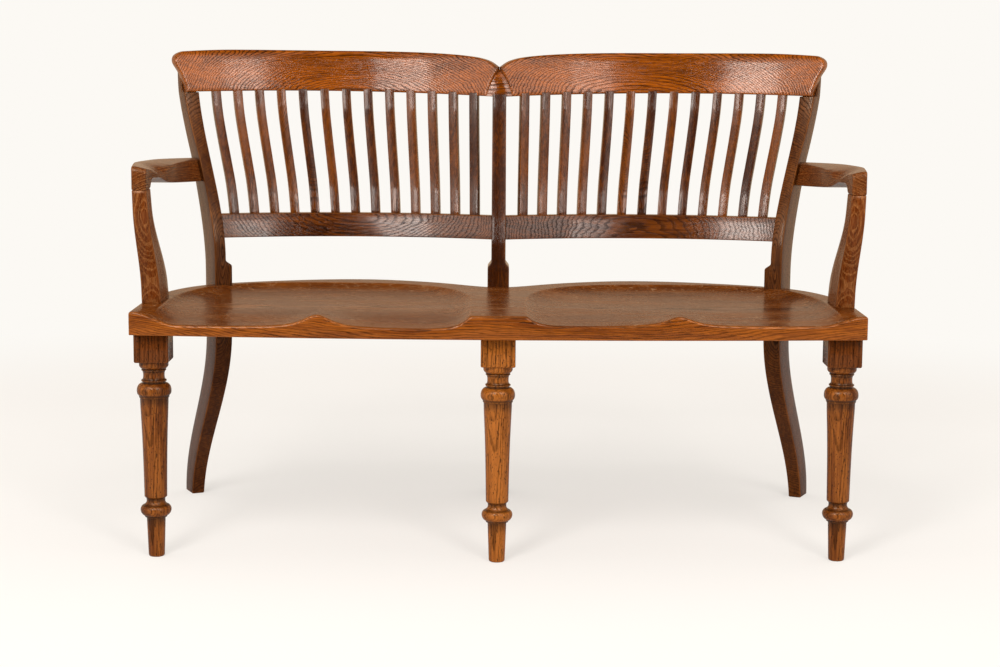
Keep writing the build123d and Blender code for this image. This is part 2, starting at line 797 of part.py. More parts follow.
def arm_side_face():
    # Seen from the side: a block over the support, a thin neck behind it, and the rear part.
    block_rear = arm_front + arm_block_length
    base = arm_height - arm_thickness
    rear = post_arris_setback + rake_travel
    rear_base = base - arm_rear_drop
    neck_front = arm_front + support_top_depth
    lift = arm_neck_rise + arm_rear_drop
    nose = arm_nose_round
    under = [(neck_front, base)]
    for run_share, lift_share in arm_underside_shares:
        under.append((neck_front + run_share * (rear - neck_front), rear_base + lift_share * lift))
    top_rear = (rear, arm_height - arm_rear_drop)
    edges = [
        Spline((arm_front, arm_height - nose), (arm_front + nose, arm_height), tangents=[(0, 1), (1, 0)]),
        Line((arm_front + nose, arm_height), (block_rear, arm_height)),
        Line((block_rear, arm_height), top_rear),
        Line(top_rear, under[-1]),
        Spline(*reversed(under)),
        Line(under[0], (arm_front, base)),
        Line((arm_front, base), (arm_front, arm_height - nose)),
    ]
    return closed_face(edges, Plane.YZ)


def arm_waist_cutter():
    # A shallow scoop across the top of the waist, deepest inside and run out at the outer edge.
    half = arm_waist_length / 2
    radius = (half ** 2 + arm_waist_dip ** 2) / (2 * arm_waist_dip)
    inner = arm_block_outer - arm_block_width
    width = arm_bulge_offset - inner
    tilt = degrees(atan2(arm_waist_dip, width))
    lowest = Pos(inner, arm_waist_setback, arm_height - arm_waist_dip) * Rot(0, -tilt, 0)
    return lowest * Pos(0, 0, radius) * Rot(0, 90, 0) * Cylinder(radius, 4 * width)


def make_arm():
    low = arm_height - arm_thickness - arm_rear_drop - overrun
    plank = loft([arm_plan_face(low), arm_plan_face(arm_height + overrun)], ruled=True)
    arm = plank & extrude(arm_side_face(), seat_width, both=True)
    arm -= arm_waist_cutter()
    outside_post = box_between(fit_gap, seat_width, -seat_width, seat_width, 0, 2 * seat_height)
    return arm & to_right_post(outside_post)


# Arm supports

def support_side_face():
    base = arm_height - arm_thickness
    front_points = eased_points(
        support_base_front, arm_front - support_base_front, support_curve_start, support_front_curve_end,
        support_front_curve_end)
    rear_base = support_base_front + support_base_depth
    rear_top = arm_front + support_top_depth
    rear_points = eased_points(
        rear_base, rear_top - rear_base, support_curve_start, support_rear_curve_end, support_rear_curve_end)
    edges = [
        Line((support_base_front, seat_height), front_points[0]),
        Spline(*front_points),
        Line(front_points[-1], (arm_front, base)),
        Line((arm_front, base), (rear_top, base)),
        Line((rear_top, base), rear_points[-1]),
        Spline(*reversed(rear_points)),
        Line(rear_points[0], (rear_base, seat_height)),
        Line((rear_base, seat_height), (support_base_front, seat_height)),
    ]
    return closed_face(edges, Plane.YZ)


def support_front_face():
    base = arm_height - arm_thickness
    points = [
        (support_base_outer, seat_height), (arm_block_outer, base),
        (arm_block_outer - arm_block_width, base), (support_base_outer - support_base_width, seat_height)]
    return closed_face(Polyline(*points, close=True).edges(), Plane.XZ)


def support_tenons(gap):
    base = arm_height - arm_thickness
    half = support_tenon_width / 2 + gap
    reach = support_tenon_length + gap
    low_x = support_base_outer - support_base_width / 2
    high_x = arm_block_outer - arm_block_width / 2
    rear = support_base_front + support_base_depth
    low = box_between(
        low_x - half, low_x + half, support_base_front + support_tenon_inset - gap,
        rear - support_tenon_inset + gap, seat_height - reach, seat_height + reach)
    high = box_between(
        high_x - half, high_x + half, arm_front + support_tenon_inset - gap,
        arm_front + support_top_depth - support_tenon_inset + gap, base - reach, base + reach)
    return [low, high]


def make_support():
    plank = extrude(support_side_face(), seat_width, both=True)
    support = plank & extrude(support_front_face(), seat_width, both=True)
    for tenon in support_tenons(0):
        support += tenon
    return support


# Screws, drawn with the head's flat top on Z = 0 and the shank pointing down

def screw(length, gap=0.0):
    head = Cone(screw_shank / 2 + gap, screw_head / 2 + gap, screw_head_height)
    shank = Cylinder(screw_shank / 2 + gap, length + gap)
    return Pos(0, 0, -screw_head_height / 2) * head + Pos(0, 0, -(length + gap) / 2) * shank


def aimed(x, y, z, along):
    # A place whose -Z axis points along a given direction.
    back = Vector(*along) * -1
    return Location(Plane(origin=(x, y, z), z_dir=back))


def seat_screw_places():
    # Two screws through each post from behind, one above the other, into the seat's edge.
    places = []
    middle = (seat_height + seat_underside) / 2
    inner = -post_seat_width / 2
    for lift in (-seat_screw_spacing / 2, seat_screw_spacing / 2):
        places.append(aimed(0, middle_post_setback + post_depth, middle + lift, (0, -1, 0)))
        x, y = on_right((inner, post_depth))
        places.append(aimed(x, y, middle + lift, (-splay_side, -splay_back, 0)))
        places.append(aimed(-x, y, middle + lift, (splay_side, -splay_back, 0)))
    return places


def crest_screw_places():
    # From behind: one screw through each outer post into its crest rail, and three through the
    # middle post into the centre block.
    height = crest_base + crest_screw_height
    x, y = on_right(((post_top_flare - post_width) / 2, rear_of_post(height)))
    middle_height = crest_base + middle_crest_screw_height
    middle_y = middle_post_setback + rear_of_post(middle_height)
    block_height = crest_base + block_screw_height
    block_y = middle_post_setback + rear_of_post(block_height)
    return [
        aimed(x, y, height, (-splay_side, -splay_back, 0)),
        aimed(-x, y, height, (splay_side, -splay_back, 0)),
        aimed(middle_crest_screw_offset, middle_y, middle_height, (0, -1, 0)),
        aimed(-middle_crest_screw_offset, middle_y, middle_height, (0, -1, 0)),
        aimed(0, block_y, block_height, (0, -1, 0)),
    ]


def arm_screw_places():
    # One screw through each outer post from its inner face into the end of the arm.
    height = arm_height - (arm_thickness + arm_rear_drop) / 2
    deep = (front_rake(height) + arm_end_inset + rear_of_post(height) - arm_rear_inset) / 2
    x, y = on_right((-post_width, deep))
    return [
        aimed(x, y, height, (splay_back, -splay_side, 0)),
        aimed(-x, y, height, (-splay_back, -splay_side, 0)),
    ]


def support_screw_places():
    # Two screws up through the seat into the tenon of each support.
    x = support_base_outer - support_base_width / 2
    y = support_base_front + support_base_depth / 2
    places = []
    for shift in (-support_screw_spacing / 2, support_screw_spacing / 2):
        places.append(aimed(x, y + shift, seat_underside, (0, 0, 1)))
        places.append(aimed(-x, y + shift, seat_underside, (0, 0, 1)))
    return places


def screw_group(places, length):
    return Compound(children=[place * screw(length) for place in places])


def clear_screws(nodes, names, places, length):
    # Bores the way for each screw in every named piece that it goes through.
    for name in names:
        for place in places:
            nodes[name] -= place * screw(length, fit_gap)


def back_pieces():
    # The posts, the crest rails, the lower rails and the slats of the right half, the middle post
    # and the centre block, with their joints cut.
    crest = make_crest()
    bed = crest_bed()
    centre_block = make_centre_block(bed)
    post = to_right_post(make_post(post_front_face())) - bed
    post_middle = Pos(0, middle_post_setback, 0) * make_post(middle_post_front_face())
    post_middle -= bed
    post_middle -= mirrored(bed)
    rail = make_lower_rail()
    for place in rail_tenon_places():
        mortise = place * rail_tenon(fit_gap)
        post -= mortise
        post_middle -= mortise
        post_middle -= mirrored(mortise)
    field = slat_field()
    slats = []
    for place in slat_places():
        slats.append(make_slat(place, field))
        for mortise in slat_tenons(place, fit_gap):
            rail -= mortise
            crest -= mortise
    return post, crest, rail, slats, post_middle, centre_block


def jointed_seat(leg_places):
    seat = make_seat()
    for x, y in leg_places:
        seat -= leg_mortise(x, y)
    support_mortise = support_tenons(fit_gap)[0]
    side_housing = to_right_post(post_housing(-post_seat_width, 0))
    for joint in (support_mortise, side_housing):
        seat -= joint
        seat -= mirrored(joint)
    middle_half = middle_post_seat_width / 2
    return seat - Pos(0, middle_post_setback, 0) * post_housing(-middle_half, middle_half)


def on_floor_centre(nodes):
    # Moves all pieces together, so that the origin is under the middle of the whole.
    boxes = [shape.bounding_box() for shape in nodes.values()]
    left = min(box.min.X for box in boxes)
    right = max(box.max.X for box in boxes)
    front = min(box.min.Y for box in boxes)
    rear = max(box.max.Y for box in boxes)
    floor = min(box.min.Z for box in boxes)
    shift = Pos(-(left + right) / 2, -(front + rear) / 2, -floor)
    return {name: shift * shape for name, shape in nodes.items()}


def build():
    post, crest, rail, slats, post_middle, centre_block = back_pieces()
    arm = make_arm() - support_tenons(fit_gap)[1]
    support = make_support()
    leg_places = {
        "left": (-front_leg_offset, front_leg_setback),
        "middle": (0, middle_leg_setback),
        "right": (front_leg_offset, front_leg_setback),
    }
    nodes = {"seat": jointed_seat(leg_places.values())}
    for side, (x, y) in leg_places.items():
        nodes[f"front_leg_{side}"] = make_front_leg(x, y)
    nodes["back_post_middle"] = post_middle
    nodes["crest_centre_block"] = centre_block
    for side, turned in (("right", lambda shape: shape), ("left", mirrored)):
        nodes[f"back_post_{side}"] = turned(post)
        nodes[f"crest_rail_{side}"] = turned(crest)
        nodes[f"lower_back_rail_{side}"] = turned(rail)
        nodes[f"armrest_{side}"] = turned(arm)
        nodes[f"arm_support_{side}"] = turned(support)
        for number, slat in enumerate(slats, start=1):
            nodes[f"back_slat_{side}_{number:02d}"] = turned(slat)

    posts = ["back_post_left", "back_post_middle", "back_post_right"]
    screws = {
        "seat_screws": (seat_screw_places(), seat_screw_length, posts + ["seat"]),
        "crest_screws": (
            crest_screw_places(), crest_screw_length,
            posts + ["crest_rail_left", "crest_rail_right", "crest_centre_block"]),
        "arm_screws": (
            arm_screw_places(), arm_screw_length,
            ["back_post_left", "back_post_right", "armrest_left", "armrest_right"]),
        "arm_support_screws": (
            support_screw_places(), support_screw_length, ["seat", "arm_support_left", "arm_support_right"]),
    }
    for name, (places, length, pieces) in screws.items():
        clear_screws(nodes, pieces, places, length)
        nodes[name] = screw_group(places, length)
    return on_floor_centre(nodes)


if __name__ == "__main__":
    os.makedirs("parts", exist_ok=True)
    for name, solid in build().items():
        export_step(solid, f"parts/{name}.step")
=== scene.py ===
import math
from contextlib import contextmanager
from functools import partial

import bmesh
import bpy
import numpy as np
from mathutils import Matrix, Vector
from mathutils.geometry import delaunay_2d_cdt


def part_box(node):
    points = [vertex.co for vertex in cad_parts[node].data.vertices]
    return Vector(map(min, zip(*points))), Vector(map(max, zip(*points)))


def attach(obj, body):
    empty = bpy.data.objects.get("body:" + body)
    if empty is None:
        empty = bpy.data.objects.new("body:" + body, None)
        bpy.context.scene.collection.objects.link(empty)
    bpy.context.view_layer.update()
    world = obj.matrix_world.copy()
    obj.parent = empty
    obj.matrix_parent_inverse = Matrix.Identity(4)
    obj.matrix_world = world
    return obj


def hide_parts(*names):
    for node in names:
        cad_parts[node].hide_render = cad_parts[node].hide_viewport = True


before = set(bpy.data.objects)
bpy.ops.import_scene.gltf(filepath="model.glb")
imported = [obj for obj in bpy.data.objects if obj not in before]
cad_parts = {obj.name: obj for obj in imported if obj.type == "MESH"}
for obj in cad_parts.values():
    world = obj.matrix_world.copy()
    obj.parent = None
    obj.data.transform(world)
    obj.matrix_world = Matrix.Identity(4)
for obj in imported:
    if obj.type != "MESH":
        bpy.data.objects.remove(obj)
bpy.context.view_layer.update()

# A two-place settee in waxed oak. Sizes are in millimetres, drawn with Y = 0 at the front corners
# of the seat, and each finished mesh is moved into the frame of the solids, in metres.
MM = 0.001
SIDES = ((1, "right"), (-1, "left"))
SEAT_BOW = 30.0
SHIFT_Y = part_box("seat")[0].y / MM + SEAT_BOW

# Seat
SEAT_HALF = 634.0
SEAT_TOP = 440.0
SEAT_UNDER = 399.0
SEAT_SIDE = 110.0
SEAT_BACK = 512.0
SEAT_VALLEY = 402.0
SCOOP_CENTRE = 320.0
SCOOP_HALF = 272.0
SCOOP_REACH = 453.0
SCOOP_FRONT = 110.0
SCOOP_DEPTH = 13.0
SCOOP_LIPS = {1: 17.0, -1: 23.0}
LIP_REACH = 190.0
POMMEL_X, POMMEL_WIDE, POMMEL_DEEP = 310.0, 30.0, 105.0
CORNER_ROLL, CORNER_DEEP, CORNER_LAND = 80.0, 38.0, 3.0

# Back: the posts' places and the levels where they bend, then the rails and the slats
POST_X = 538.0
POST_Y = 390.0
MIDDLE_POST_Y = 395.0
SPLAY = math.radians(25.0)
POST_FOOT, POST_SHOULDER, POST_HEAD = 63.0, 465.0, 842.0
BACK_RISE, BACK_START = 352.0, 490.0
# The sabre legs' sweep: its top level, and how far back it takes the front and the rear face
SWEEP_TOP, SWEEP_FRONT, SWEEP_REAR = 340.0, 173.0, 153.0
CREST_LOW = 797.0
CREST_TOP = 884.0
CREST_LEAN = 0.30
CREST_THICK = 23.0
CREST_INNER_X = 25.5
CREST_OUTER_X = 606.5
CREST_FLARE = 18.5
RAIL_LOW = 529.0
RAIL_TALL = 44.0
RAIL_THICK = 22.0
SLATS = 13
SLAT_WIDE, SLAT_THICK = 17.0, 15.0
SLAT_HEAD, SLAT_ARCH = 804.0, 4.6
# How far the slats at the ends of a row stand from the ends of the arcs, at foot and head
FOOT_ENDS, HEAD_ENDS = (54.8, 27.6), (56.8, 55.6)

# Front legs: their names, middles and tones, and the square block over the turning
LEGS = (("left", -600.0, 48.0, 0.20), ("middle", 0.0, 24.0, 0.84), ("right", 600.0, 48.0, 0.24))
BLOCK_WIDE, BLOCK_LOW = 60.0, 345.0

# Arms
ARM_FRONT = 62.0
ARM_REAR = 558.0
ARM_TOP = 685.0
ARM_UNDER = 643.0
ARM_OUTER = 636.0
ARM_INNER = 611.0
ARM_SWELL = 19.8
ARM_NOSE = 8.0
# The thick front end: how far back its underside and its inner side reach
BLOCK_REAR, BLOCK_LONG = 110.0, 118.0
# The underside behind that end: its level at the post, and how far above it it lies near the end
REAR_UNDER, UNDER_RISE = 632.0, 26.0
# Behind this depth the arm falls towards the post, by so much in all
FALL_FROM, REAR_FALL = 180.0, 11.0
# The supports' feet, across and deep, and the level where they start to lean forward
SUPPORT_FOOT, SUPPORT_DEEP, SUPPORT_BEND = (596.5, 630.5), (112.0, 205.0), 465.0
# How far the arm's top falls from its outer to its inner edge, by depth
ARM_FALL = (
    (62, 5), (90, 6), (120, 9), (150, 15), (180, 21), (205, 23), (230, 21), (262, 14), (300, 9), (360, 6),
    (450, 4), (560, 2))

# Levels of the screws in the seat, the crest rail's ends and the arms
SEAT_SCREW_LEVELS, CREST_SCREW_LEVEL, ARM_SCREW_LEVEL = (411.0, 428.0), 817.0, 658.5


def ease(share):
    share = min(max(share, 0.0), 1.0)
    return share * share * (3 - 2 * share)


def read_off(line, at):
    # The second value of a line of points, where the first one is at.
    return float(np.interp(at, line[:, 0], line[:, 1]))


def front_rake(height):
    return 168.0 * ease((height - BACK_START) / BACK_RISE)


def rear_of_post(height):
    return POST_FOOT + 145.0 * ease((height - POST_SHOULDER) / (POST_HEAD - POST_SHOULDER))


def on_right(across, deep):
    # A place in the splayed post's own frame, moved to the right-hand post.
    x = POST_X + across * math.cos(SPLAY) + deep * math.sin(SPLAY)
    y = POST_Y - across * math.sin(SPLAY) + deep * math.cos(SPLAY)
    return x, y


class Arc:
    # A level arc from the middle post to the outer post, hollow towards the front.
    def __init__(self, inner, outer, end_angle):
        run, rise = outer[0] - inner[0], outer[1] - inner[1]
        tilt = math.atan2(-rise, run)
        half = math.radians(end_angle) - tilt
        self.radius = math.hypot(run, rise) / (2 * math.sin(half))
        reach = self.radius * math.cos(half)
        self.x = (inner[0] + outer[0]) / 2 - reach * math.sin(tilt)
        self.y = (inner[1] + outer[1]) / 2 - reach * math.cos(tilt)
        self.inner_angle, self.outer_angle = tilt - half, tilt + half

    def angle_at(self, x):
        return math.asin((x - self.x) / self.radius)


RAIL_DEEP = front_rake(RAIL_LOW + RAIL_TALL / 2) + 8.0
RAIL_ARC = Arc((0, MIDDLE_POST_Y + RAIL_DEEP), on_right(-22.0, RAIL_DEEP), 21.0)
RAIL_LEAN = (front_rake(RAIL_LOW + RAIL_TALL) - front_rake(RAIL_LOW)) / RAIL_TALL
CREST_DEEP = front_rake(CREST_LOW) - 4.0
CREST_ARC = Arc((0, MIDDLE_POST_Y + CREST_DEEP), on_right(0, CREST_DEEP), 25.0)


def crest_underside(x):
    share = (x - CREST_INNER_X) / (CREST_OUTER_X - CREST_INNER_X)
    return CREST_LOW + 5.0 * share + 18.0 * share * (1 - share)


def spline(points, start=None, end=None, spacing=4.0):
    """A smooth line through the points, with the start and end direction where one is given."""
    points = np.array(points, float)
    steps = np.hypot(*np.diff(points, axis=0).T)
    count = len(points)
    rows, right = np.zeros((count, count)), np.zeros((count, 2))
    for i in range(1, count - 1):
        before, after = steps[i - 1], steps[i]
        rows[i, i - 1:i + 2] = after, 2 * (before + after), before
        ahead, behind = (points[i + 1] - points[i]) / after, (points[i] - points[i - 1]) / before
        right[i] = 3 * (before * ahead + after * behind)
    for i, way, other in ((0, start, 1), (count - 1, end, count - 2)):
        if way is None:
            rows[i, i], rows[i, other] = 2, 1
            near = min(i, other)
            right[i] = 3 * (points[near + 1] - points[near]) / steps[near]
        else:
            rows[i, i] = 1
            right[i] = np.array(way, float) / np.hypot(*way)
    slopes = np.linalg.solve(rows, right)
    line = [points[0]]
    for i in range(count - 1):
        parts = max(2, int(steps[i] / spacing))
        for k in range(1, parts + 1):
            t = k / parts
            line.append(
                (2 * t ** 3 - 3 * t ** 2 + 1) * points[i] + (t ** 3 - 2 * t ** 2 + t) * steps[i] * slopes[i]
                + (3 * t ** 2 - 2 * t ** 3) * points[i + 1] + (t ** 3 - t ** 2) * steps[i] * slopes[i + 1])
    return np.array(line)


def straight(first, last, spacing=4.0):
    first, last = np.array(first, float), np.array(last, float)
    parts = max(1, int(np.hypot(*(last - first)) / spacing))
    return first + (last - first) * np.linspace(0, 1, parts + 1)[:, None]


def joined(*lines):
    # One closed outline from lines that meet end to end, without points nearer than least.
    least = 0.2
    points = [point for line in lines for point in line]
    kept = [points[0]]
    for point in points[1:]:
        if np.hypot(*(point - kept[-1])) > least:
            kept.append(point)
    if np.hypot(*(kept[0] - kept[-1])) <= least:
        kept.pop()
    return np.array(kept)


def drawn_in(outline, distance):
    # The outline moved inwards by a distance, along the bisector at each point.
    before = outline - np.roll(outline, 1, axis=0)
    after = np.roll(outline, -1, axis=0) - outline
    before /= np.hypot(*before.T)[:, None]
    after /= np.hypot(*after.T)[:, None]
    inward = np.stack([-(before + after)[:, 1], (before + after)[:, 0]], axis=1)
    inward /= np.hypot(*inward.T)[:, None]
    cosine = np.abs(inward[:, 0] * -after[:, 1] + inward[:, 1] * after[:, 0])
    return outline + inward * (distance / np.maximum(cosine, 0.5))[:, None]


# Meshes

def to_frame(points):
    return [(x * MM, (y + SHIFT_Y) * MM, z * MM) for x, y, z in points]


def new_object(name, data):
    thing = bpy.data.objects.new(name, data)
    bpy.context.scene.collection.objects.link(thing)
    return thing


@contextmanager
def reworked(mesh):
    """Opens a mesh for rework, and lays the result back in it."""
    whole = bmesh.new()
    whole.from_mesh(mesh)
    yield whole
    whole.to_mesh(mesh)
    whole.free()


def make_piece(name, points, faces, side=1):
    """A closed mesh from points in drawn millimetres. Side -1 mirrors it to the left."""
    mesh = bpy.data.meshes.new(name)
    mesh.from_pydata(to_frame([(side * x, y, z) for x, y, z in points]), [], faces)
    piece = new_object(name, mesh)
    with reworked(mesh) as whole:
        bmesh.ops.remove_doubles(whole, verts=whole.verts, dist=2e-6)
        bmesh.ops.dissolve_degenerate(whole, dist=1e-6, edges=whole.edges)
        bmesh.ops.recalc_face_normals(whole, faces=whole.faces)
        if whole.calc_volume(signed=True) < 0:
            bmesh.ops.reverse_faces(whole, faces=whole.faces)
    return piece


def bands(levels, count):
    # The faces between rings of the same number of points, from one ring to the next.
    faces = []
    for low in range(0, (levels - 1) * count, count):
        for i in range(count):
            j = (i + 1) % count
            faces.append((low + i, low + j, low + count + j, low + count + i))
    return faces


def board(name, outline, spacing, top, under, bend, rounding, side=1, lines=(), under_rounding=None):
    """A board cut to an outline, with its edges eased. Top and under give its two faces' places
    across its thickness, and bend moves a point of the flat board to its place in the settee."""
    steps = 3
    under_rounding = under_rounding or rounding
    count = len(outline)
    rings = []
    for inwards, ease_by in ((1, rounding), (-1, under_rounding)):
        eased = []
        for step in range(steps + 1):
            turn = math.pi / 2 * step / steps
            ring = drawn_in(outline, max(ease_by * (1 - math.sin(turn)), 1e-4))
            levels = np.array([(top(u, v), under(u, v)) for u, v in ring])
            way = np.sign(levels[:, 1] - levels[:, 0])
            level = levels[:, 0] if inwards == 1 else levels[:, 1]
            level = level + inwards * way * ease_by * (1 - math.cos(turn))
            eased.append([(u, v, w) for (u, v), w in zip(ring, level)])
        rings.extend(eased[::inwards])
    points = [point for ring in rings for point in ring]
    faces = bands(len(rings), count)
    low, high = outline.min(axis=0), outline.max(axis=0)
    for surface, ease_by, gap, extra in (
            (top, rounding, spacing, lines), (under, under_rounding, spacing * 1.5, ())):
        flat = [Vector(point) for point in drawn_in(outline, ease_by)]
        edges = [(i, (i + 1) % count) for i in range(count)]
        for line in extra:
            first = len(flat)
            flat.extend(Vector(point) for point in line)
            edges.extend((first + i, first + i + 1) for i in range(len(line) - 1))
        field = inside(drawn_in(outline, ease_by + gap * 0.8), low, high, gap, extra)
        flat.extend(Vector(point) for point in field)
        verts, _, tris, *_ = delaunay_2d_cdt(flat, edges, [list(range(count))], 1, 1e-5)
        first = len(points)
        points.extend((v.x, v.y, surface(v.x, v.y)) for v in verts)
        faces.extend(tuple(first + i for i in face) for face in tris)
    return make_piece(name, [bend(*point) for point in points], faces, side)


def inside(outline, low, high, gap, lines):
    # Points of an even triangular field inside the outline and clear of the extra lines.
    rows = np.arange(low[1] + gap / 2, high[1], gap * 0.87)
    field = []
    for k, v in enumerate(rows):
        across = np.arange(low[0] + gap / 2 + (k % 2) * gap / 2, high[0], gap)
        crossings = []
        for a, b in zip(outline, np.roll(outline, -1, axis=0)):
            if (a[1] > v) != (b[1] > v):
                crossings.append(a[0] + (v - a[1]) * (b[0] - a[0]) / (b[1] - a[1]))
        crossings = np.sort(crossings)
        held = across[np.searchsorted(crossings, across) % 2 == 1]
        field.extend((u, v) for u in held)
    field = np.array(field).reshape(-1, 2)
    for line in lines:
        line = np.array(line)
        for part in np.array_split(line, max(1, len(line) // 60)):
            apart = field[:, None, :] - part[None, :, :]
            field = field[np.hypot(apart[..., 0], apart[..., 1]).min(axis=1) > gap * 0.6]
    return field


def eased_section(across, along, rounding, parts=(1, 1)):
    """One rectangular section as a ring of shares, with its four corners rounded. Parts is how
    many pieces its sides are cut into, across and along."""
    size = np.array((across, along), float)

    def on_corner(corner, turn):
        centre = corner * size + (1 - 2 * corner) * rounding
        return centre + rounding * np.array((math.cos(turn), math.sin(turn)))

    ring = []
    corners = np.array([(1, 1), (0, 1), (0, 0), (1, 0)])
    quarter = math.pi / 2
    for index, corner in enumerate(corners):
        ring.extend(on_corner(corner, quarter * (index + step / 3)) for step in range(4))
        following = corners[(index + 1) % 4]
        extra = parts[0] if corner[1] == following[1] else parts[1]
        last, goal = ring[-1], on_corner(following, quarter * (index + 1))
        ring.extend(last + (goal - last) * k / extra for k in range(1, extra))
    return [tuple(point / size) for point in ring]


def stack(name, rings, side=1):
    """A piece built from rings of the same number of points, closed at both ends."""
    count = len(rings[0])
    points = [point for ring in rings for point in ring]
    ends = [tuple(range(count)), tuple(range(len(points) - count, len(points)))]
    return make_piece(name, points, bands(len(rings), count) + ends, side)


def ease_edges(piece, width, segments, angle):
    bevel = piece.modifiers.new("eased_edges", "BEVEL")
    bevel.width, bevel.segments, bevel.limit_method, bevel.angle_limit = width, segments, "ANGLE", angle


def plain(piece):
    # Fixes the modifiers into the mesh.
    graph = bpy.context.evaluated_depsgraph_get()
    mesh = bpy.data.meshes.new_from_object(piece.evaluated_get(graph), depsgraph=graph)
    piece.modifiers.clear()
    piece.data = mesh
    return piece


def copy_of(node):
    """A copy of a solid's mesh with its doubled points merged and its flat faces made whole."""
    piece = new_object("waxed_" + node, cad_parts[node].data.copy())
    with reworked(piece.data) as whole:
        bmesh.ops.remove_doubles(whole, verts=whole.verts, dist=2e-6)
        bmesh.ops.dissolve_limit(
            whole, angle_limit=math.radians(0.4), verts=whole.verts, edges=whole.edges,
            use_dissolve_boundaries=False)
    return piece


def lay_grain(piece, along, pith, turn=0.0, tone=0.5):
    """Gives each point its place in the tree that the board was sawn from, in metres: X and Y are
    across the grain from the pith, Z along it. Tone is how light the board is, from 0 to 1."""
    mesh = piece.data
    along = Vector(along).normalized()
    aside = along.orthogonal().normalized()
    aside.rotate(Matrix.Rotation(turn, 3, along))
    up = along.cross(aside)
    places = np.zeros(len(mesh.vertices) * 3, np.float32)
    mesh.vertices.foreach_get("co", places)
    places = places.reshape(-1, 3) - np.array(pith)
    tree = np.stack([places @ np.array(way) for way in (aside, up, along)], axis=1)
    grain = mesh.attributes.new("tree", "FLOAT_VECTOR", "POINT")
    grain.data.foreach_set("vector", tree.astype(np.float32).ravel())
    light = mesh.attributes.new("tone", "FLOAT", "POINT")
    light.data.foreach_set("value", np.full(len(mesh.vertices), tone, np.float32))


def mark_edges(piece, sharp=300.0):
    """Marks how far each point lies on an outward edge or in a groove, from how its faces turn; the
    materials paint these lighter and darker, in part as painted highlight and painted shade.
    """
    mesh = piece.data
    whole = bmesh.new()
    whole.from_mesh(mesh)
    whole.normal_update()
    out, hollow = np.zeros(len(whole.verts), np.float32), np.zeros(len(whole.verts), np.float32)
    turns = {}
    for edge in whole.edges:
        if len(edge.link_faces) == 2:
            one, two = edge.link_faces
            apart = (one.calc_center_median() - two.calc_center_median()).length
            turns[edge.index] = edge.calc_face_angle_signed(0.0) / max(apart, 4e-4)
    for vert in whole.verts:
        bends = [turns.get(edge.index, 0.0) for edge in vert.link_edges]
        if bends:
            out[vert.index] = max(0.0, min(1.0, (max(bends) - 40.0) / sharp))
            hollow[vert.index] = max(0.0, min(1.0, (-min(bends) - 30.0) / sharp))
    for _ in range(2):
        near = hollow.copy()
        for edge in whole.edges:
            one, two = (vert.index for vert in edge.verts)
            near[one] = max(near[one], 0.75 * hollow[two])
            near[two] = max(near[two], 0.75 * hollow[one])
        hollow = near
    whole.free()
    for name, values in (("rubbed", out), ("hollow", hollow)):
        mesh.attributes.new(name, "FLOAT", "POINT").data.foreach_set("value", values)


def finish_piece(piece, material, nodes, sharp_angle=50.0):
    """Shades a finished piece, gives it its material and seats it on the frame."""
    mesh = piece.data
    mesh.materials.clear()
    mesh.materials.append(material)
    mesh.shade_smooth()
    mesh.set_sharp_from_angle(angle=math.radians(sharp_angle))
    mark_edges(piece)
    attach(piece, "root")
    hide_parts(*nodes)


# Materials

def linear(code):
    # A written sRGB colour as the linear values that the shader takes.
    shares = [int(code[start:start + 2], 16) / 255 for start in (0, 2, 4)]
    curved = [share / 12.92 if share <= 0.04045 else ((share + 0.055) / 1.055) ** 2.4 for share in shares]
    return (*curved, 1.0)


# The setting that each kind of node takes its mode by
MODES = {
    "Attribute": "attribute_name", "InputNamedAttribute": "data_type", "MapRange": "interpolation_type",
    "Math": "operation", "MeshBoolean": "operation", "Mix": "data_type", "RandomValue": "data_type",
    "StoreNamedAttribute": "data_type", "VectorMath": "operation", "VectorRotate": "rotation_type"}


def add_node(tree, what, *values, out=0, **named):
    """Adds a node, called for by its kind and mode, and gives back one of its outputs, or the node
    itself where out is None. The values fill its open inputs in turn. A name with a capital is
    another input, with _ for a space, and any other name is a setting. An input gets a value, or
    an output to link from."""
    kind, _, mode = what.partition(" ")
    families = ("ShaderNode", "GeometryNode", "FunctionNode")
    made = tree.nodes.new(next(family + kind for family in families if hasattr(bpy.types, family + kind)))
    if mode:
        setattr(made, MODES[kind], mode)
    given = list(zip([socket for socket in made.inputs if socket.enabled], values))
    for name, value in named.items():
        if name[0].isupper():
            given.append((made.inputs[name.replace("_", " ")], value))
        else:
            setattr(made, name, value)
    for socket, value in given:
        if isinstance(value, bpy.types.NodeSocket):
            tree.links.new(value, socket)
        else:
            socket.default_value = value
    if out is None or isinstance(out, str):
        return made.outputs[out] if out else made
    return [socket for socket in made.outputs if socket.enabled][out]


def new_material(name):
    # An empty material, and the function that adds a node to it.
    material = bpy.data.materials.new(name)
    material.use_nodes = True
    material.node_tree.nodes.clear()
    return material, partial(add_node, material.node_tree)


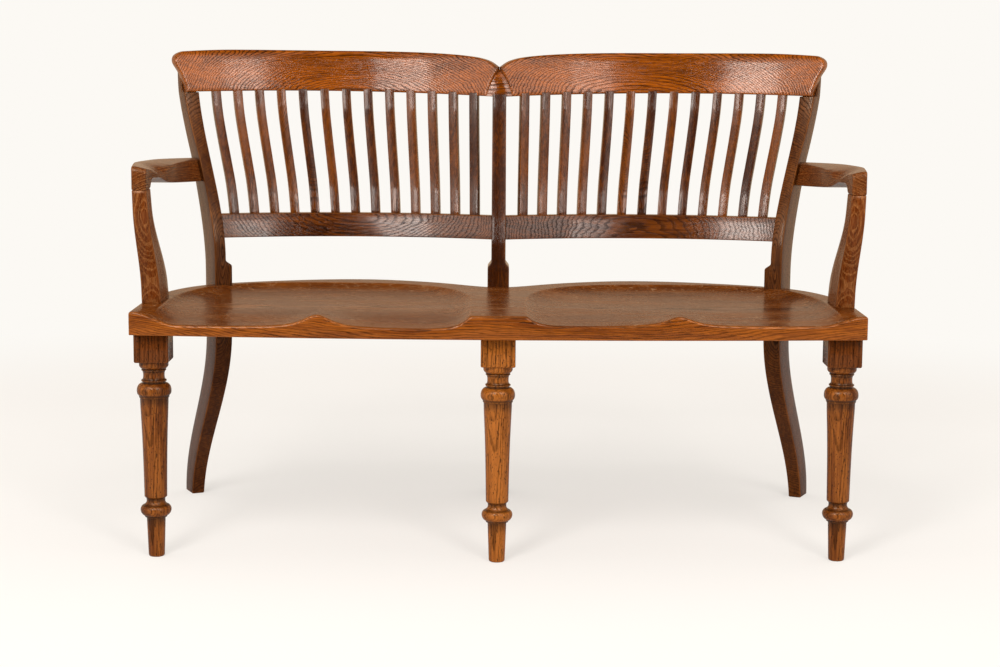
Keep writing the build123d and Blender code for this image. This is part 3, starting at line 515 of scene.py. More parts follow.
def waxed_oak(name, pore, body, light, year=2.0, lines=0.6, flecks=0.0, handled=0.0,
              roughness=0.22, wax="FFDFB4", specks=0.0):
    """Open-grained oak under dark stain and wax, sawn and planed, then worn by use: dark pores
    in each year's early wood, paler late wood, ray flecks where it is quartered, edges painted
    lighter as wear and a painted highlight. Year is the width of one year's growth in millimetres."""
    material, add = new_material(name)

    # The stem wanders by a few millimetres, slowly along the grain and faster across it.
    place = add("Attribute tree", out="Vector")
    bent = place
    for scale, reach in (((9.0, 9.0, 1.6), 0.026), ((70.0, 70.0, 14.0), 0.0036)):
        sway = add("TexNoise", add("VectorMath MULTIPLY", place, scale), 1.0, 2.0, out="Color")
        sway = add("VectorMath SUBTRACT", sway, (0.5, 0.5, 0.5))
        bent = add("VectorMath MULTIPLY_ADD", sway, (reach, reach, 0.0), bent)
    radius = add("VectorMath LENGTH", add("VectorMath MULTIPLY", bent, (1.0, 1.0, 0.0)))
    outwards = add("VectorMath MULTIPLY", add("CombineXYZ", radius), (90.0, 0.0, 0.0))
    uneven = add("TexNoise", outwards, 1.0, 1.0)
    years = add("Math MULTIPLY_ADD", uneven, 3.0, add("Math DIVIDE", radius, year * MM))
    early = add("MapRange SMOOTHSTEP", add("Math FRACT", years), 0.05, 0.50, 1.0, 0.0)

    # Pores are 0.3 mm wide. They are drawn 1 mm wide and 20 mm long, so that they still show.
    pores = add("TexNoise", add("VectorMath MULTIPLY", bent, (900.0, 900.0, 42.0)), 1.0, 2.0, 0.6)
    pores = add("MapRange SMOOTHSTEP", pores, 0.48, 0.61)
    pores = add("Math MULTIPLY", pores, add("Math MULTIPLY_ADD", early, 0.55, 0.40))

    # Broad clouds of stain a hand's width across, and streaks of darker and lighter wood.
    cloud = add("TexNoise", add("VectorMath MULTIPLY", place, (16.0, 16.0, 4.0)), 1.0, 4.0, 0.6)
    cloud = add("MapRange SMOOTHSTEP", cloud, 0.32, 0.68)
    streak = add("TexNoise", add("VectorMath MULTIPLY", bent, (210.0, 210.0, 5.0)), 1.0, 3.0, 0.65)
    streak = add("MapRange SMOOTHSTEP", streak, 0.36, 0.64)
    lightness = add("Math MULTIPLY_ADD", streak, 0.55, add("Attribute tone", out="Fac"))
    lightness = add("Math MULTIPLY_ADD", cloud, 0.45, lightness)
    lightness = add("Math SUBTRACT", lightness, 0.5, use_clamp=True)
    dark = add("Math MULTIPLY_ADD", early, lines, add("Math MULTIPLY", pores, 0.95), use_clamp=True)
    dark = add("Math MULTIPLY", dark, add("Math MULTIPLY_ADD", cloud, -0.35, 1.0))
    colour = add("Mix RGBA", dark, add("Mix RGBA", lightness, linear(body), linear(light)), linear(pore))
    if specks:
        # Dirt has settled under the wax in small dark spots, 2 to 5 mm across.
        spots = add("VectorMath MULTIPLY", place, (330.0, 330.0, 150.0))
        spots = add("MapRange SMOOTHSTEP", add("TexNoise", spots, 1.0, 3.0, 0.7), 0.56, 0.68, 0.0, specks)
        colour = add("Mix RGBA", spots, colour, linear("1E0E05"))

    # Hands and clothes have darkened the faces that look up.
    up = add("SeparateXYZ", add("NewGeometry", out="Normal"), out="Z")
    face = add("MapRange SMOOTHSTEP", up, 0.6, 0.95)
    colour = add("Mix RGBA", add("Math MULTIPLY", face, handled), colour, linear(pore))
    if flecks:
        # Rays lie across the grain as thin wavy ribbons, paler than the wood, on the face only.
        ray = add("VectorMath MULTIPLY", bent, (42.0, 42.0, 45.0))
        ray = add("TexNoise", ray, 1.0, 1.0, Distortion=1.2)
        off = add("Math ABSOLUTE", add("Math SUBTRACT", ray, 0.5))
        ribbon = add("MapRange SMOOTHSTEP", off, 0.0, 0.018, flecks, 0.0)
        ribbon = add("Math MULTIPLY", add("Math MULTIPLY", ribbon, face), cloud)
        colour = add("Mix RGBA", ribbon, colour, linear("B08A64"))

    # Outward edges are painted lighter, in part as wear and in part as a painted highlight.
    edge_wear_and_highlight = add("Math MULTIPLY_ADD", cloud, 0.25, 0.03)
    edge_wear_and_highlight = add("Math MULTIPLY", add("Attribute rubbed", out="Fac"), edge_wear_and_highlight)
    colour = add("Mix RGBA", edge_wear_and_highlight, colour, linear("A5622A"))
    # Grooves are painted darker, in part as old wax and dirt and in part as painted shade.
    groove_dirt_and_shade = add("Math MULTIPLY", add("Attribute hollow", out="Fac"), 0.8)
    colour = add("Mix RGBA", groove_dirt_and_shade, colour, linear("1A0B04"))
    bump = add("Bump", Strength=0.5, Distance=0.0002, Height=add("Math MULTIPLY", dark, -1.0))
    shader = add(
        "BsdfPrincipled", Base_Color=colour, Normal=bump, IOR=1.43,
        Roughness=add("MapRange SMOOTHSTEP", cloud, 0.0, 1.0, roughness - 0.03, roughness + 0.05),
        Specular_IOR_Level=add("Math MULTIPLY_ADD", dark, -0.42, 0.54), Specular_Tint=linear(wax),
        Coat_Weight=add("Math MULTIPLY_ADD", dark, -0.12, 0.13), Coat_Roughness=0.08, Coat_IOR=1.45)
    add("OutputMaterial", shader, out=None)
    return material


# Red-brown boards sawn on the round: bold dark flames under a bright hard wax.
CREST_OAK = waxed_oak(
    "flame_figured_waxed_oak", "260C02", "642E03", "A45207", lines=0.85, roughness=0.09, wax="FFF0E4")
# The darkest stain, polished to a cool narrow gleam.
RAIL_OAK = waxed_oak(
    "dark_waxed_oak", "180802", "3C1905", "743A0A", lines=0.75, roughness=0.08, wax="F4ECE6")
# A plank sawn near the quarter: pale wavy flecks, and a wax worn duller by sitting.
SEAT_OAK = waxed_oak(
    "quarter_figured_waxed_oak", "260D02", "5E2806", "954E0C", lines=0.7, flecks=0.7, handled=0.25,
    roughness=0.25, wax="FFE8CC")
# Brown wood with a broad grain and little gleam.
POST_OAK = waxed_oak(
    "brown_waxed_oak", "1E0B03", "421E0A", "693812", year=2.4, lines=0.85, wax="A89678")
# Turned wood where the stain took lightly: amber, with dark specks.
LEG_OAK = waxed_oak(
    "amber_waxed_oak", "1E0C02", "602E0A", "A05B1E", year=2.4, lines=0.55, wax="E8D4B8", specks=0.9)
# Old wax has filled the pores here, so that each year shows as a pale line on red wood.
ARM_OAK = waxed_oak(
    "red_waxed_oak", "8E5A30", "3E1503", "6A3008", year=3.4, lines=0.36, wax="E4C6A0", specks=0.3)


def aged_steel():
    """Screw steel gone dull and brown with age, with fine turning scratches, and a slot painted dark as
    painted shade.
    """
    material, add = new_material("aged_screw_steel")
    place = add("TexCoord", out="Object")
    stain = add("TexNoise", place, 420.0, 4.0)
    scratch = add("TexNoise", place, 2600.0, 2.0)
    colour = add("Mix RGBA", add("MapRange", stain, 0.4, 0.62), linear("7C746A"), linear("4A3B2E"))
    # Outward edges are painted a paler grey, and the slot and other grooves are painted near black as
    # painted shade.
    bright = add("Math MULTIPLY", add("Attribute rubbed", out="Fac"), 0.4)
    colour = add("Mix RGBA", bright, colour, linear("A8A29A"))
    colour = add("Mix RGBA", add("Attribute hollow", out="Fac"), colour, linear("1C150F"))
    shader = add(
        "BsdfPrincipled", Base_Color=colour, Metallic=1.0,
        Roughness=add("MapRange", stain, To_Min=0.32, To_Max=0.6),
        Normal=add("Bump", Strength=0.3, Distance=0.00005, Height=scratch))
    add("OutputMaterial", shader, out=None)
    return material


SCREW_STEEL = aged_steel()


# Seat

def scoop(x, y):
    """Height of the scooped top against the flat one."""
    across = abs(x)
    beside = abs(across - SCOOP_CENTRE) / SCOOP_HALF
    behind = max(y - SCOOP_FRONT, 0) / (SCOOP_REACH - SCOOP_FRONT)
    rim = (beside ** 3 + behind ** 3) ** (1 / 3)
    lip = SCOOP_LIPS[1 if x >= 0 else -1]
    depth = SCOOP_DEPTH + (lip - SCOOP_DEPTH) * ease(1 - (y + SEAT_BOW) / LIP_REACH)
    ridge = math.exp(-((y + SEAT_BOW) / POMMEL_DEEP) ** 2) / (1 + ((across - POMMEL_X) / POMMEL_WIDE) ** 2)
    sunk = max(0.0, 1 - rim ** 14)
    if across > SCOOP_CENTRE:
        # The land outside the scoop rolls down to the front edge, from the corner to the lip.
        off_front = y + SEAT_BOW * (1 - (across / SEAT_HALF) ** 2)
        rolled = ease((SEAT_HALF - CORNER_LAND - across) / CORNER_ROLL)
        sunk += (rolled - sunk) * math.exp(-(off_front / CORNER_DEEP) ** 2)
    return -depth * sunk * (1 - ridge)


def seat_outline():
    """The bowed front, the straight sides and the two round lobes behind, from the front left."""
    post_half = 22.0
    lobe = [(post_half, SEAT_VALLEY)]
    for across, deep in (
            (0.14, 0.42), (0.24, 0.75), (0.375, 1.0), (0.52, 0.97), (0.67, 0.71), (0.80, 0.355)):
        lobe.append((across * SEAT_HALF, SEAT_VALLEY + deep * (SEAT_BACK - SEAT_VALLEY)))
    for across, deep in ((0.88, 0.68), (0.964, 0.45)):
        lobe.append((across * SEAT_HALF, SEAT_SIDE + deep * (SEAT_VALLEY - SEAT_SIDE) / 0.68))
    lobe.append((SEAT_HALF, SEAT_SIDE))
    right = spline(lobe, (math.cos(SPLAY), math.sin(SPLAY)), (0, -1), 5.0)
    bow = (SEAT_HALF ** 2 + SEAT_BOW ** 2) / (2 * SEAT_BOW)
    turns = np.linspace(-math.asin(SEAT_HALF / bow), math.asin(SEAT_HALF / bow), 255)
    front = np.stack([bow * np.sin(turns), bow - SEAT_BOW - bow * np.cos(turns)], axis=1)
    return joined(
        front, straight((SEAT_HALF, 0), (SEAT_HALF, SEAT_SIDE), 5.0), right[::-1],
        straight((post_half, SEAT_VALLEY), (-post_half, SEAT_VALLEY), 5.0), right * (-1, 1),
        straight((-SEAT_HALF, SEAT_SIDE), (-SEAT_HALF, 0), 5.0))


def scoop_rim(share, gap=3.5):
    """A line round the right scoop, open to the front, at a share of the way out to its rim. It
    gives the mesh edges to follow, with points at least a gap apart."""
    line = []
    for turn in np.linspace(0, math.pi, 300):
        x = share * SCOOP_HALF * np.sign(math.cos(turn)) * abs(math.cos(turn)) ** (2 / 3)
        y = share * (SCOOP_REACH - SCOOP_FRONT) * math.sin(turn) ** (2 / 3)
        line.append((SCOOP_CENTRE - x, SCOOP_FRONT + y))
    ahead = np.arange(-14.0, line[0][1] - 2, 5.0)
    line = np.array(
        [(line[0][0], y) for y in ahead] + line + [(line[-1][0], y) for y in ahead[::-1]])
    kept, travelled = [line[0]], 0.0
    for point, moved in zip(line[1:], np.hypot(*np.diff(line, axis=0).T)):
        travelled += moved
        if travelled >= gap:
            kept.append(point)
            travelled = 0.0
    return np.array(kept)


seat = board(
    "scooped_seat", seat_outline(), 5.0, lambda x, y: SEAT_TOP + scoop(x, y), lambda x, y: SEAT_UNDER,
    lambda x, y, z: (x, y, z), 4.0, under_rounding=1.6,
    lines=[scoop_rim(share) * (side, 1) for side in (-1, 1) for share in (0.990, 1.0, 1.008)])
lay_grain(seat, (1, 0.01, 0), (0, -0.12, 0.30), tone=0.5)
finish_piece(seat, SEAT_OAK, ["seat"])


# Back posts

# Levels at which a post is cut, and those where only its rear part goes on, behind the crest rail
POST_LEVELS = (
    0.0, 1.2, *np.arange(4.0, 397.0, 8.0), 399, 420, 440, 458, 474.5, 477, 479, 481.5, 484, 486, 488.5,
    *np.arange(496.0, 797.0, 8.0), 801.0)
HEAD_LEVELS = (801.5, 810.0, 820.0, 830.0, 839.5, POST_HEAD)
# Heights of the small step above the seat, where a post gets narrower
POST_STEPS = (0.0, SEAT_UNDER, 476.0, 478.5, 485.0, 487.0, POST_HEAD)


def lower_front(z):
    return SWEEP_FRONT * ease((SWEEP_TOP - z) / (SWEEP_TOP + 15.0))


def lower_rear(z):
    # The last few millimetres over the floor stand upright.
    upright = 5.0
    return POST_FOOT + SWEEP_REAR * ease((SWEEP_TOP - max(z, upright)) / (SWEEP_TOP - upright))


def post_rings(across_at, place, bed):
    """Sections of a post from the floor up, as across_at gives its two sides. Bed is the depth of
    the crest rail's back."""
    rings = []
    for z in (*POST_LEVELS, *HEAD_LEVELS):
        inner, outer = across_at(z)
        front = front_rake(z) if z >= BACK_START else lower_front(z)
        rear = rear_of_post(z) if z >= POST_SHOULDER else lower_rear(z)
        if z in HEAD_LEVELS:
            front = bed + CREST_LEAN * (z - CREST_LOW)
        trim, rounding = (1.6, 1.4) if z in (0.0, POST_HEAD) else (0.0, 2.4)
        wide, deep = outer - inner - 2 * trim, rear - front - 2 * trim
        rings.append([
            (*place(inner + trim + u * wide, front + trim + v * deep), z)
            for u, v in eased_section(wide, deep, rounding, (1, 3))])
    return rings


def outer_post_across(z):
    inner = np.interp(z, POST_STEPS, (-25, -34, -34, -32.5, -23.0, -22, -22))
    return float(inner), float(np.interp(z, (680, 802), (0.0, 8.0)))


def middle_post_across(z):
    half = float(np.interp(z, POST_STEPS, (13.5, 20.5, 20.5, 19.5, 14.3, 13.5, 13.5)))
    return -half, half


def on_middle(across, deep):
    return across, MIDDLE_POST_Y + deep


outer_rings = post_rings(outer_post_across, on_right, CREST_DEEP + CREST_THICK)
for side, word in SIDES:
    post = stack("sabre_post_" + word, outer_rings, side)
    lay_grain(post, (0, 0.12, 1), (side * 0.52, 0.02, 0), tone=0.45 + 0.1 * side, turn=side)
    finish_piece(post, POST_OAK, ["back_post_" + word])
crest_back_y = CREST_ARC.y + (CREST_ARC.radius + CREST_THICK) * math.cos(CREST_ARC.inner_angle)
middle_rings = post_rings(middle_post_across, on_middle, crest_back_y - MIDDLE_POST_Y + 2.0)
post = stack("sabre_post_middle", middle_rings)
lay_grain(post, (0, 0.12, 1), (0.09, 0.05, 0), tone=0.05)
finish_piece(post, RAIL_OAK, ["back_post_middle"])


# Crest rails: shaped by s along the arc, z up and w across the thickness

# The shaped end, as shares of its flare and its height, and the top line, as shares of the rail's
# length and height
CREST_END = ((0, 0), (0.20, 0.26), (0.62, 0.54), (1.0, 0.75), (0.90, 0.86), (0.35, 0.965), (-1.0, 1.02))
CREST_CURVE = (
    (-0.044, 0.66), (-0.022, 0.76), (0.0, 0.82), (0.055, 0.89), (0.17, 0.95), (0.55, 0.99), (0.78, 1.0),
    (0.93, 0.99), (1.06, 0.94))
CREST_END_TALL = 78.0
# How far the crest's top edge lies behind its foot
CREST_SET_BACK = 42.0


def crest_section():
    """The front face as (height, depth): straight and leaning, then rolled over to the top."""
    roll_tall, roll_deep, below = 24.0, 17.0, 20.0
    roll_from = CREST_TOP - roll_tall
    front = CREST_LEAN * (roll_from - CREST_LOW)
    roll = spline(
        [(front, roll_from), (front + roll_deep, CREST_TOP)], (CREST_LEAN, 1), (1, CREST_LEAN), 1.5)
    return np.array([(-CREST_LEAN * below, CREST_LOW - below), *roll])[:, ::-1]


CREST_FRONT = crest_section()


def crest_rear(s, z):
    return CREST_LEAN * (z - CREST_LOW) + CREST_THICK


def crest_x(s, offset=0.0):
    return CREST_ARC.x + (CREST_ARC.radius + offset) * math.sin(s / CREST_ARC.radius)


def bend_crest(s, z, w):
    y = CREST_ARC.y + (CREST_ARC.radius + w) * math.cos(s / CREST_ARC.radius)
    return max(crest_x(s, w), 0.15), y, min(z, CREST_TOP)


def crest_outline():
    s_in, s_out = (CREST_ARC.angle_at(x) * CREST_ARC.radius for x in (CREST_INNER_X, CREST_OUTER_X))
    end = spline([(a * CREST_FLARE, b * CREST_END_TALL) for a, b in CREST_END], (0, 1), (-1, 0), 3.0)
    long, tall = CREST_OUTER_X - CREST_INNER_X, CREST_TOP - CREST_LOW
    top = spline([(CREST_INNER_X + a * long, CREST_LOW + b * tall) for a, b in CREST_CURVE])

    def under_top(points):
        return np.array([(s, min(z, read_off(top, crest_x(s, CREST_SET_BACK)))) for s, z in points])

    under = np.array([(s, crest_underside(crest_x(s))) for s in np.linspace(s_in, s_out, 120)])
    outer = under_top([(s_out + a, CREST_LOW + 5.0 + z) for a, z in end])
    inner = under_top([(s_in - a, CREST_LOW + z) for a, z in end[::-1]])
    between = under_top([(s, 900.0) for s in np.linspace(outer[-1][0] - 4, inner[0][0] + 4, 120)])
    return joined(under, outer, between, inner)


crest_line = crest_outline()
for (side, word), along, pith, tone in zip(
        SIDES, ((1, 0.0, 0.0), (1, 0.02, 0.02)), ((0.3, 0.385, 0.752), (-0.28, 0.40, 0.745)), (0.55, 0.5)):
    crest = board(
        "crest_" + word, crest_line, 5.0, lambda s, z: read_off(CREST_FRONT, z), crest_rear, bend_crest, 2.8,
        side, under_rounding=2.0)
    lay_grain(crest, along, pith, tone=tone)
    finish_piece(crest, CREST_OAK, ["crest_rail_" + word])

block = copy_of("crest_centre_block")
ease_edges(block, 1.2 * MM, 2, math.radians(30))
plain(block)
lay_grain(block, (1, 0, 0), (0, 0.45, 0.80), tone=0.4)
finish_piece(block, CREST_OAK, ["crest_centre_block"])


# Arms

def arm_ends(z):
    # Where the arm meets the post's inner face: its inner and its outer edge.
    return on_right(-0.15, front_rake(z) + 13.0), on_right(-0.15, rear_of_post(z) - 3.0)


def arm_top(share_out, y):
    level = min(ARM_TOP, ARM_TOP - REAR_FALL * (y - FALL_FROM) / (ARM_REAR - FALL_FROM))
    ahead = ARM_FRONT + ARM_NOSE - y
    if ahead > 0:
        level = min(level, ARM_TOP - ARM_NOSE + math.sqrt(max(0.0, ARM_NOSE ** 2 - ahead ** 2)))
    return level - read_off(np.array(ARM_FALL), y) * (1 - share_out) ** 1.5


def arm_rings():
    """Sections of the right arm from its nose to the post. The lines of its sides are drawn by
    thousandths of its length, and its underside by depth."""
    inner_end, outer_end = arm_ends(660.0)
    run_out, run_in = outer_end[1] - ARM_FRONT, inner_end[1] - ARM_FRONT
    outer = ((0.0, 0.0), (0.15, 0.5), (0.34, 1.0), (0.55, 0.95), (0.78, 0.35))
    outer = [(a * 1000, ARM_OUTER + b * ARM_SWELL) for a, b in outer]
    outer = spline(outer + [(1000.0, outer_end[0])], spacing=10.0)
    block_share = BLOCK_LONG / run_in
    inner = ((block_share, 0.0), (0.447, 0.18), (0.70, 0.41), (0.90, 0.70))
    inner = [(a * 1000, ARM_INNER + b * (inner_end[0] - ARM_INNER)) for a, b in inner]
    inner = spline(inner + [(1000.0, inner_end[0])], spacing=10.0)
    under = (
        (0.03, 0.88), (0.11, 1.0), (0.19, 0.95), (0.31, 0.54), (0.41, 0.36), (0.55, 0.22), (0.76, 0.06),
        (1.0, 0.0))
    under = [(BLOCK_REAR + a * (ARM_REAR - BLOCK_REAR), REAR_UNDER + b * UNDER_RISE) for a, b in under]
    under = spline([(BLOCK_REAR, ARM_UNDER)] + under)
    rings = []
    for share in (0.0, 0.004, 0.009, 0.014, 0.02, *np.linspace(0.03, 0.985, 95), 1.0):
        x_out = read_off(outer, share * 1000)
        x_in = read_off(inner, share * 1000) if share > block_share else ARM_INNER
        y_mid = ARM_FRONT + share * (run_out + run_in) / 2
        low = read_off(under, y_mid)
        tall = arm_top(1.0, y_mid) - low
        inset = 1.2 if share == 0.0 else 0.0
        ring = []
        for u, v in eased_section(x_out - x_in, tall, 3.2, (6, 4)):
            (ix, iy), (ox, oy) = arm_ends(low + v * tall)
            x_o = x_out + (ox - outer_end[0]) * share ** 3
            x_i = x_in + (ix - inner_end[0]) * share ** 3
            y_o, y_i = ARM_FRONT + share * (oy - ARM_FRONT), ARM_FRONT + share * (iy - ARM_FRONT)
            x, y = x_i + u * (x_o - x_i), y_i + u * (y_o - y_i)
            low_here = read_off(under, y)
            z = low_here + v * (arm_top(u, y) - low_here)
            ring.append((x + inset * (1 - 2 * u), y, z + inset * (1 - 2 * v)))
        rings.append(ring)
    return rings


def support_rings():
    """Sections of the right arm support, which leans forward and narrows as it rises."""
    rings = []
    for z in (SEAT_TOP, 441.0, *np.arange(448.0, 640.0, 6.0), 642.4, ARM_UNDER):
        front, rear = (
            foot - (foot - head) * ease((z - SUPPORT_BEND) / rise)
            for foot, head, rise in zip(SUPPORT_DEEP, (ARM_FRONT, BLOCK_REAR), (147.0, 145.0)))
        share = (z - SEAT_TOP) / (ARM_UNDER - SEAT_TOP)
        inner, outer = (
            foot + (head - foot) * share for foot, head in zip(SUPPORT_FOOT, (ARM_INNER, ARM_OUTER)))
        trim = 0.7 if z in (SEAT_TOP, ARM_UNDER) else 0.0
        wide, deep = outer - inner - 2 * trim, rear - front - 2 * trim
        rings.append([
            (inner + trim + u * wide, front + trim + v * deep, z)
            for u, v in eased_section(wide, deep, 2.6, (2, 4))])
    return rings


for side, word in SIDES:
    arm = stack("arm_" + word, arm_rings(), side)
    lay_grain(arm, (0, 1, -0.02), (side * 0.60, 0, 0.60), tone=0.28)
    finish_piece(arm, ARM_OAK, ["armrest_" + word])
    support = stack("arm_support_piece_" + word, support_rings(), side)
    lay_grain(support, (0, -0.2, 1), (side * 0.615, -0.14, 0), tone=0.6)
    finish_piece(support, ARM_OAK, ["arm_support_" + word])


# Front legs

def turned_profile():
    """The turned part's outline as (radius, height), from under the block down to the foot."""
    parts = [
        [(25.5, 348.0), (25.5, 342.0)],
        spline([(25.5, 341), (20.5, 334)], (0, -1), (-1, -1), 1.2),
        [(21.3, 333.2), (21.5, 332.7), (21.5, 331.9), (21.2, 331.5), (20.2, 331.4)],
        spline([(20.0, 331), (18.5, 323.5), (20.0, 315.5)], (-0.6, -1), (0.6, -1), 1.6),
        [(21.5, 315.0), (22.0, 314.4), (22.0, 313.0), (21.6, 312.4), (19.7, 312.2)],
        [(19.5, 311.2), (19.5, 309.7)],
        spline(
            [(20.2, 309.5), (27.4, 305.2), (30.0, 296.2), (28.6, 289.6), (26.4, 286.9)],
            (1, -0.05), (-0.7, -1), 1.4),
        [(26.2, 286.3), (26.2, 284.3), (25.9, 283.7), (24.9, 283.5)],
        spline([(24.7, 283), (23.0, 240), (19.75, 108)], (-0.02, -1), None, 7.0),
        [(19.6, 107.3), (19.1, 107.0), (16.6, 104.4)],
        spline([(16.4, 104), (16.2, 99), (20.2, 93)], (0, -1), (1, -0.8), 1.5),
        spline(
            [(20.4, 92.8), (25.9, 88.6), (27.0, 83.5), (25.0, 77.4), (19.8, 73.2)], (1, -0.2), (-1, -0.3),
            1.4),
        [(19.5, 72.8), (19.5, 71.3), (19.2, 70.9), (16.8, 70.7)],
        spline([(16.4, 70), (14.1, 4)], None, None, 8.0),
        [(14.0, 3.0), (13.4, 1.2), (12.2, 0.2), (11.0, 0.0)],
    ]
    return [tuple(point) for part in parts for point in part]


def make_leg(name, x, y):
    # The block's levels, with how far each is drawn in and how far its corners are rounded
    levels = ((347.8, 1.8, 1.6), (348.6, 0.7, 2.4), (350.2, 0.0, 2.8), (398.2, 0.0, 2.8), (399.2, 0.6, 2.4))
    rings = []
    for z, trim, rounding in levels:
        wide = BLOCK_WIDE - 2 * trim
        rings.append([
            (x - wide / 2 + u * wide, y - wide / 2 + v * wide, z)
            for u, v in eased_section(wide, wide, rounding, (4, 4))])
    leg = stack(name, rings)
    around = np.linspace(0, 2 * math.pi, 49)[:-1]
    turned = stack(name + "_turned", [
        [(x + radius * math.cos(a), y + radius * math.sin(a), z) for a in around]
        for radius, z in turned_profile()])
    with reworked(leg.data) as whole:
        whole.from_mesh(turned.data)
    bpy.data.objects.remove(turned)
    return leg


for name, x, y, tone in LEGS:
    leg = make_leg("turned_leg_" + name, x, y)
    lay_grain(leg, (0, 0, 1), (x * MM + 0.10, (y + SHIFT_Y) * MM + 0.20, 0), tone=tone, turn=0.4)
    # The outer blocks are painted darker than their shafts, as painted shade under the seat's front edge,
    # and the middle block is made lighter.
    for vert, value in zip(leg.data.vertices, leg.data.attributes["tone"].data):
        if vert.co.z > BLOCK_LOW * MM:
            value.value = tone - 0.36 if x else tone + 0.15
    finish_piece(leg, LEG_OAK, ["front_leg_" + name])


# Slats, lower rails and screws, made with Geometry Nodes

def new_tree(name, inputs):
    """An empty tree with named inputs: the tree, its inputs, and the function that adds a node."""
    tree = bpy.data.node_groups.new(name, "GeometryNodeTree")
    tree.interface.new_socket("Geometry", in_out="INPUT", socket_type="NodeSocketGeometry")
    for label, kind, value in inputs:
        socket = tree.interface.new_socket(label, in_out="INPUT", socket_type="NodeSocket" + kind)
        if value is not None:
            socket.default_value = value
    tree.interface.new_socket("Geometry", in_out="OUTPUT", socket_type="NodeSocketGeometry")
    return tree, tree.nodes.new("NodeGroupInput").outputs, partial(add_node, tree)


def close_tree(tree, geometry, material):
    # Ends a tree in one whole mesh of its material.
    whole = add_node(tree, "RealizeInstances", geometry)
    painted = add_node(tree, "SetMaterial", whole, Material=material)
    tree.links.new(painted, tree.nodes.new("NodeGroupOutput").inputs["Geometry"])
    return tree


def grown(name, tree, values, rounding=0.0, places=()):
    """Runs a node tree on a piece of bare places, or on none, and eases the edges it makes. Each
    place is a point in metres and the way that it faces there, as three turns."""
    piece = new_object(name, bpy.data.meshes.new(name))
    piece.data.from_pydata([place for place, _ in places], [], [])
    facing = piece.data.attributes.new("facing", "FLOAT_VECTOR", "POINT")
    facing.data.foreach_set("vector", np.array([turn for _, turn in places], np.float32).ravel())
    modifier = piece.modifiers.new("made_by_rule", "NODES")
    modifier.node_group = tree
    names = {item.name: item.identifier for item in tree.interface.items_tree if item.in_out == "INPUT"}
    for label, value in values.items():
        modifier[names[label]] = value
    if rounding:
        ease_edges(piece, rounding, 3, math.radians(50))
    return plain(piece)


def arc_place(add, angle, radius, centre):
    # The point of a level arc at an angle from +Y, positive outwards.
    reach = add("CombineXYZ", 0.0, radius)
    turned = add("VectorRotate Z_AXIS", reach, Angle=add("Math MULTIPLY", angle, -1.0))
    return add("VectorMath ADD", turned, centre)


def set_up(add, bar, place, height, side):
    """Moves a bar's points to their level places, up to their height, and mirrors them where the
    side is -1."""
    place = add("VectorMath ADD", place, add("CombineXYZ", 0.0, 0.0, height))
    place = add("VectorMath MULTIPLY", place, add("CombineXYZ", side, 1.0, 1.0))
    return add("SetPosition", bar, Position=place)


def shape_curve(output, points, handles=None):
    # Lays a curve node's line through the points, from 0 to 1.
    mapping = output.node.mapping
    line = mapping.curves[0].points
    line[0].location, line[1].location = points[0], points[-1]
    for point in points[1:-1]:
        line.new(*point)
    for point in line if handles else ():
        point.handle_type = handles
    mapping.update()


def slat_tree():
    """A row of S-curved slats between two level arcs: one turned bar per slat, bent by height."""
    tree, given, add = new_tree("bowed_row_of_slats", [
        ("Slats", "Int", SLATS), ("Width", "Float", 0.017), ("Thickness", "Float", 0.015),
        ("Foot Height", "Float", 0.572), ("Head Height", "Float", 0.80), ("Head Arch", "Float", 0.0045),
        ("Foot Radius", "Float", 0.7), ("Foot Centre", "Vector", None), ("First Foot Angle", "Float", 0.0),
        ("Last Foot Angle", "Float", 0.0), ("Head Radius", "Float", 0.7), ("Head Centre", "Vector", None),
        ("First Head Angle", "Float", 0.0), ("Last Head Angle", "Float", 0.0), ("Side", "Float", 1.0),
        ("Material", "Material", None)])
    points = add("Points", given["Slats"])
    row = add("StoreNamedAttribute FLOAT", points, Name="slat", Value=add("InputIndex"))
    bars = add("InstanceOnPoints", row, Instance=add("MeshCube", (1.0, 1.0, 1.0), 2, 2, 26))
    bars = add("RealizeInstances", bars)
    slat = add("InputNamedAttribute FLOAT", "slat")
    share = add("Math DIVIDE", slat, add("Math SUBTRACT", given["Slats"], 1.0))
    ends = []
    for word in ("Foot", "Head"):
        angle = add("MapRange", share, 0.0, 1.0, given[f"First {word} Angle"], given[f"Last {word} Angle"])
        ends.append((angle, arc_place(add, angle, given[f"{word} Radius"], given[f"{word} Centre"])))
    (foot_angle, foot), (head_angle, head) = ends
    own = add("SeparateXYZ", add("InputPosition"), out=None).outputs
    rise = add("Math ADD", own["Z"], 0.5)
    lean = add("FloatCurve", Value=rise)
    shape_curve(lean, (
        (0.0, 0.0), (0.212, 0.15), (0.424, 0.395), (0.636, 0.655), (0.848, 0.875), (1.0, 0.965)))
    angle = add("Math MULTIPLY", add("Mix FLOAT", lean, foot_angle, head_angle), -1.0)
    across = add("Math MULTIPLY", own["X"], given["Width"])
    deep = add("Math MULTIPLY", own["Y"], given["Thickness"])
    section = add("VectorRotate Z_AXIS", add("CombineXYZ", across, deep), Angle=angle)
    hump = add("Math MULTIPLY", add("Math SUBTRACT", share, add("Math MULTIPLY", share, share)), 4.0)
    top = add("Math MULTIPLY_ADD", hump, given["Head Arch"], given["Head Height"])
    height = add("Mix FLOAT", rise, given["Foot Height"], top)
    place = add("VectorMath ADD", add("Mix VECTOR", lean, foot, head), section)
    return close_tree(tree, set_up(add, bars, place, height, given["Side"]), given["Material"])


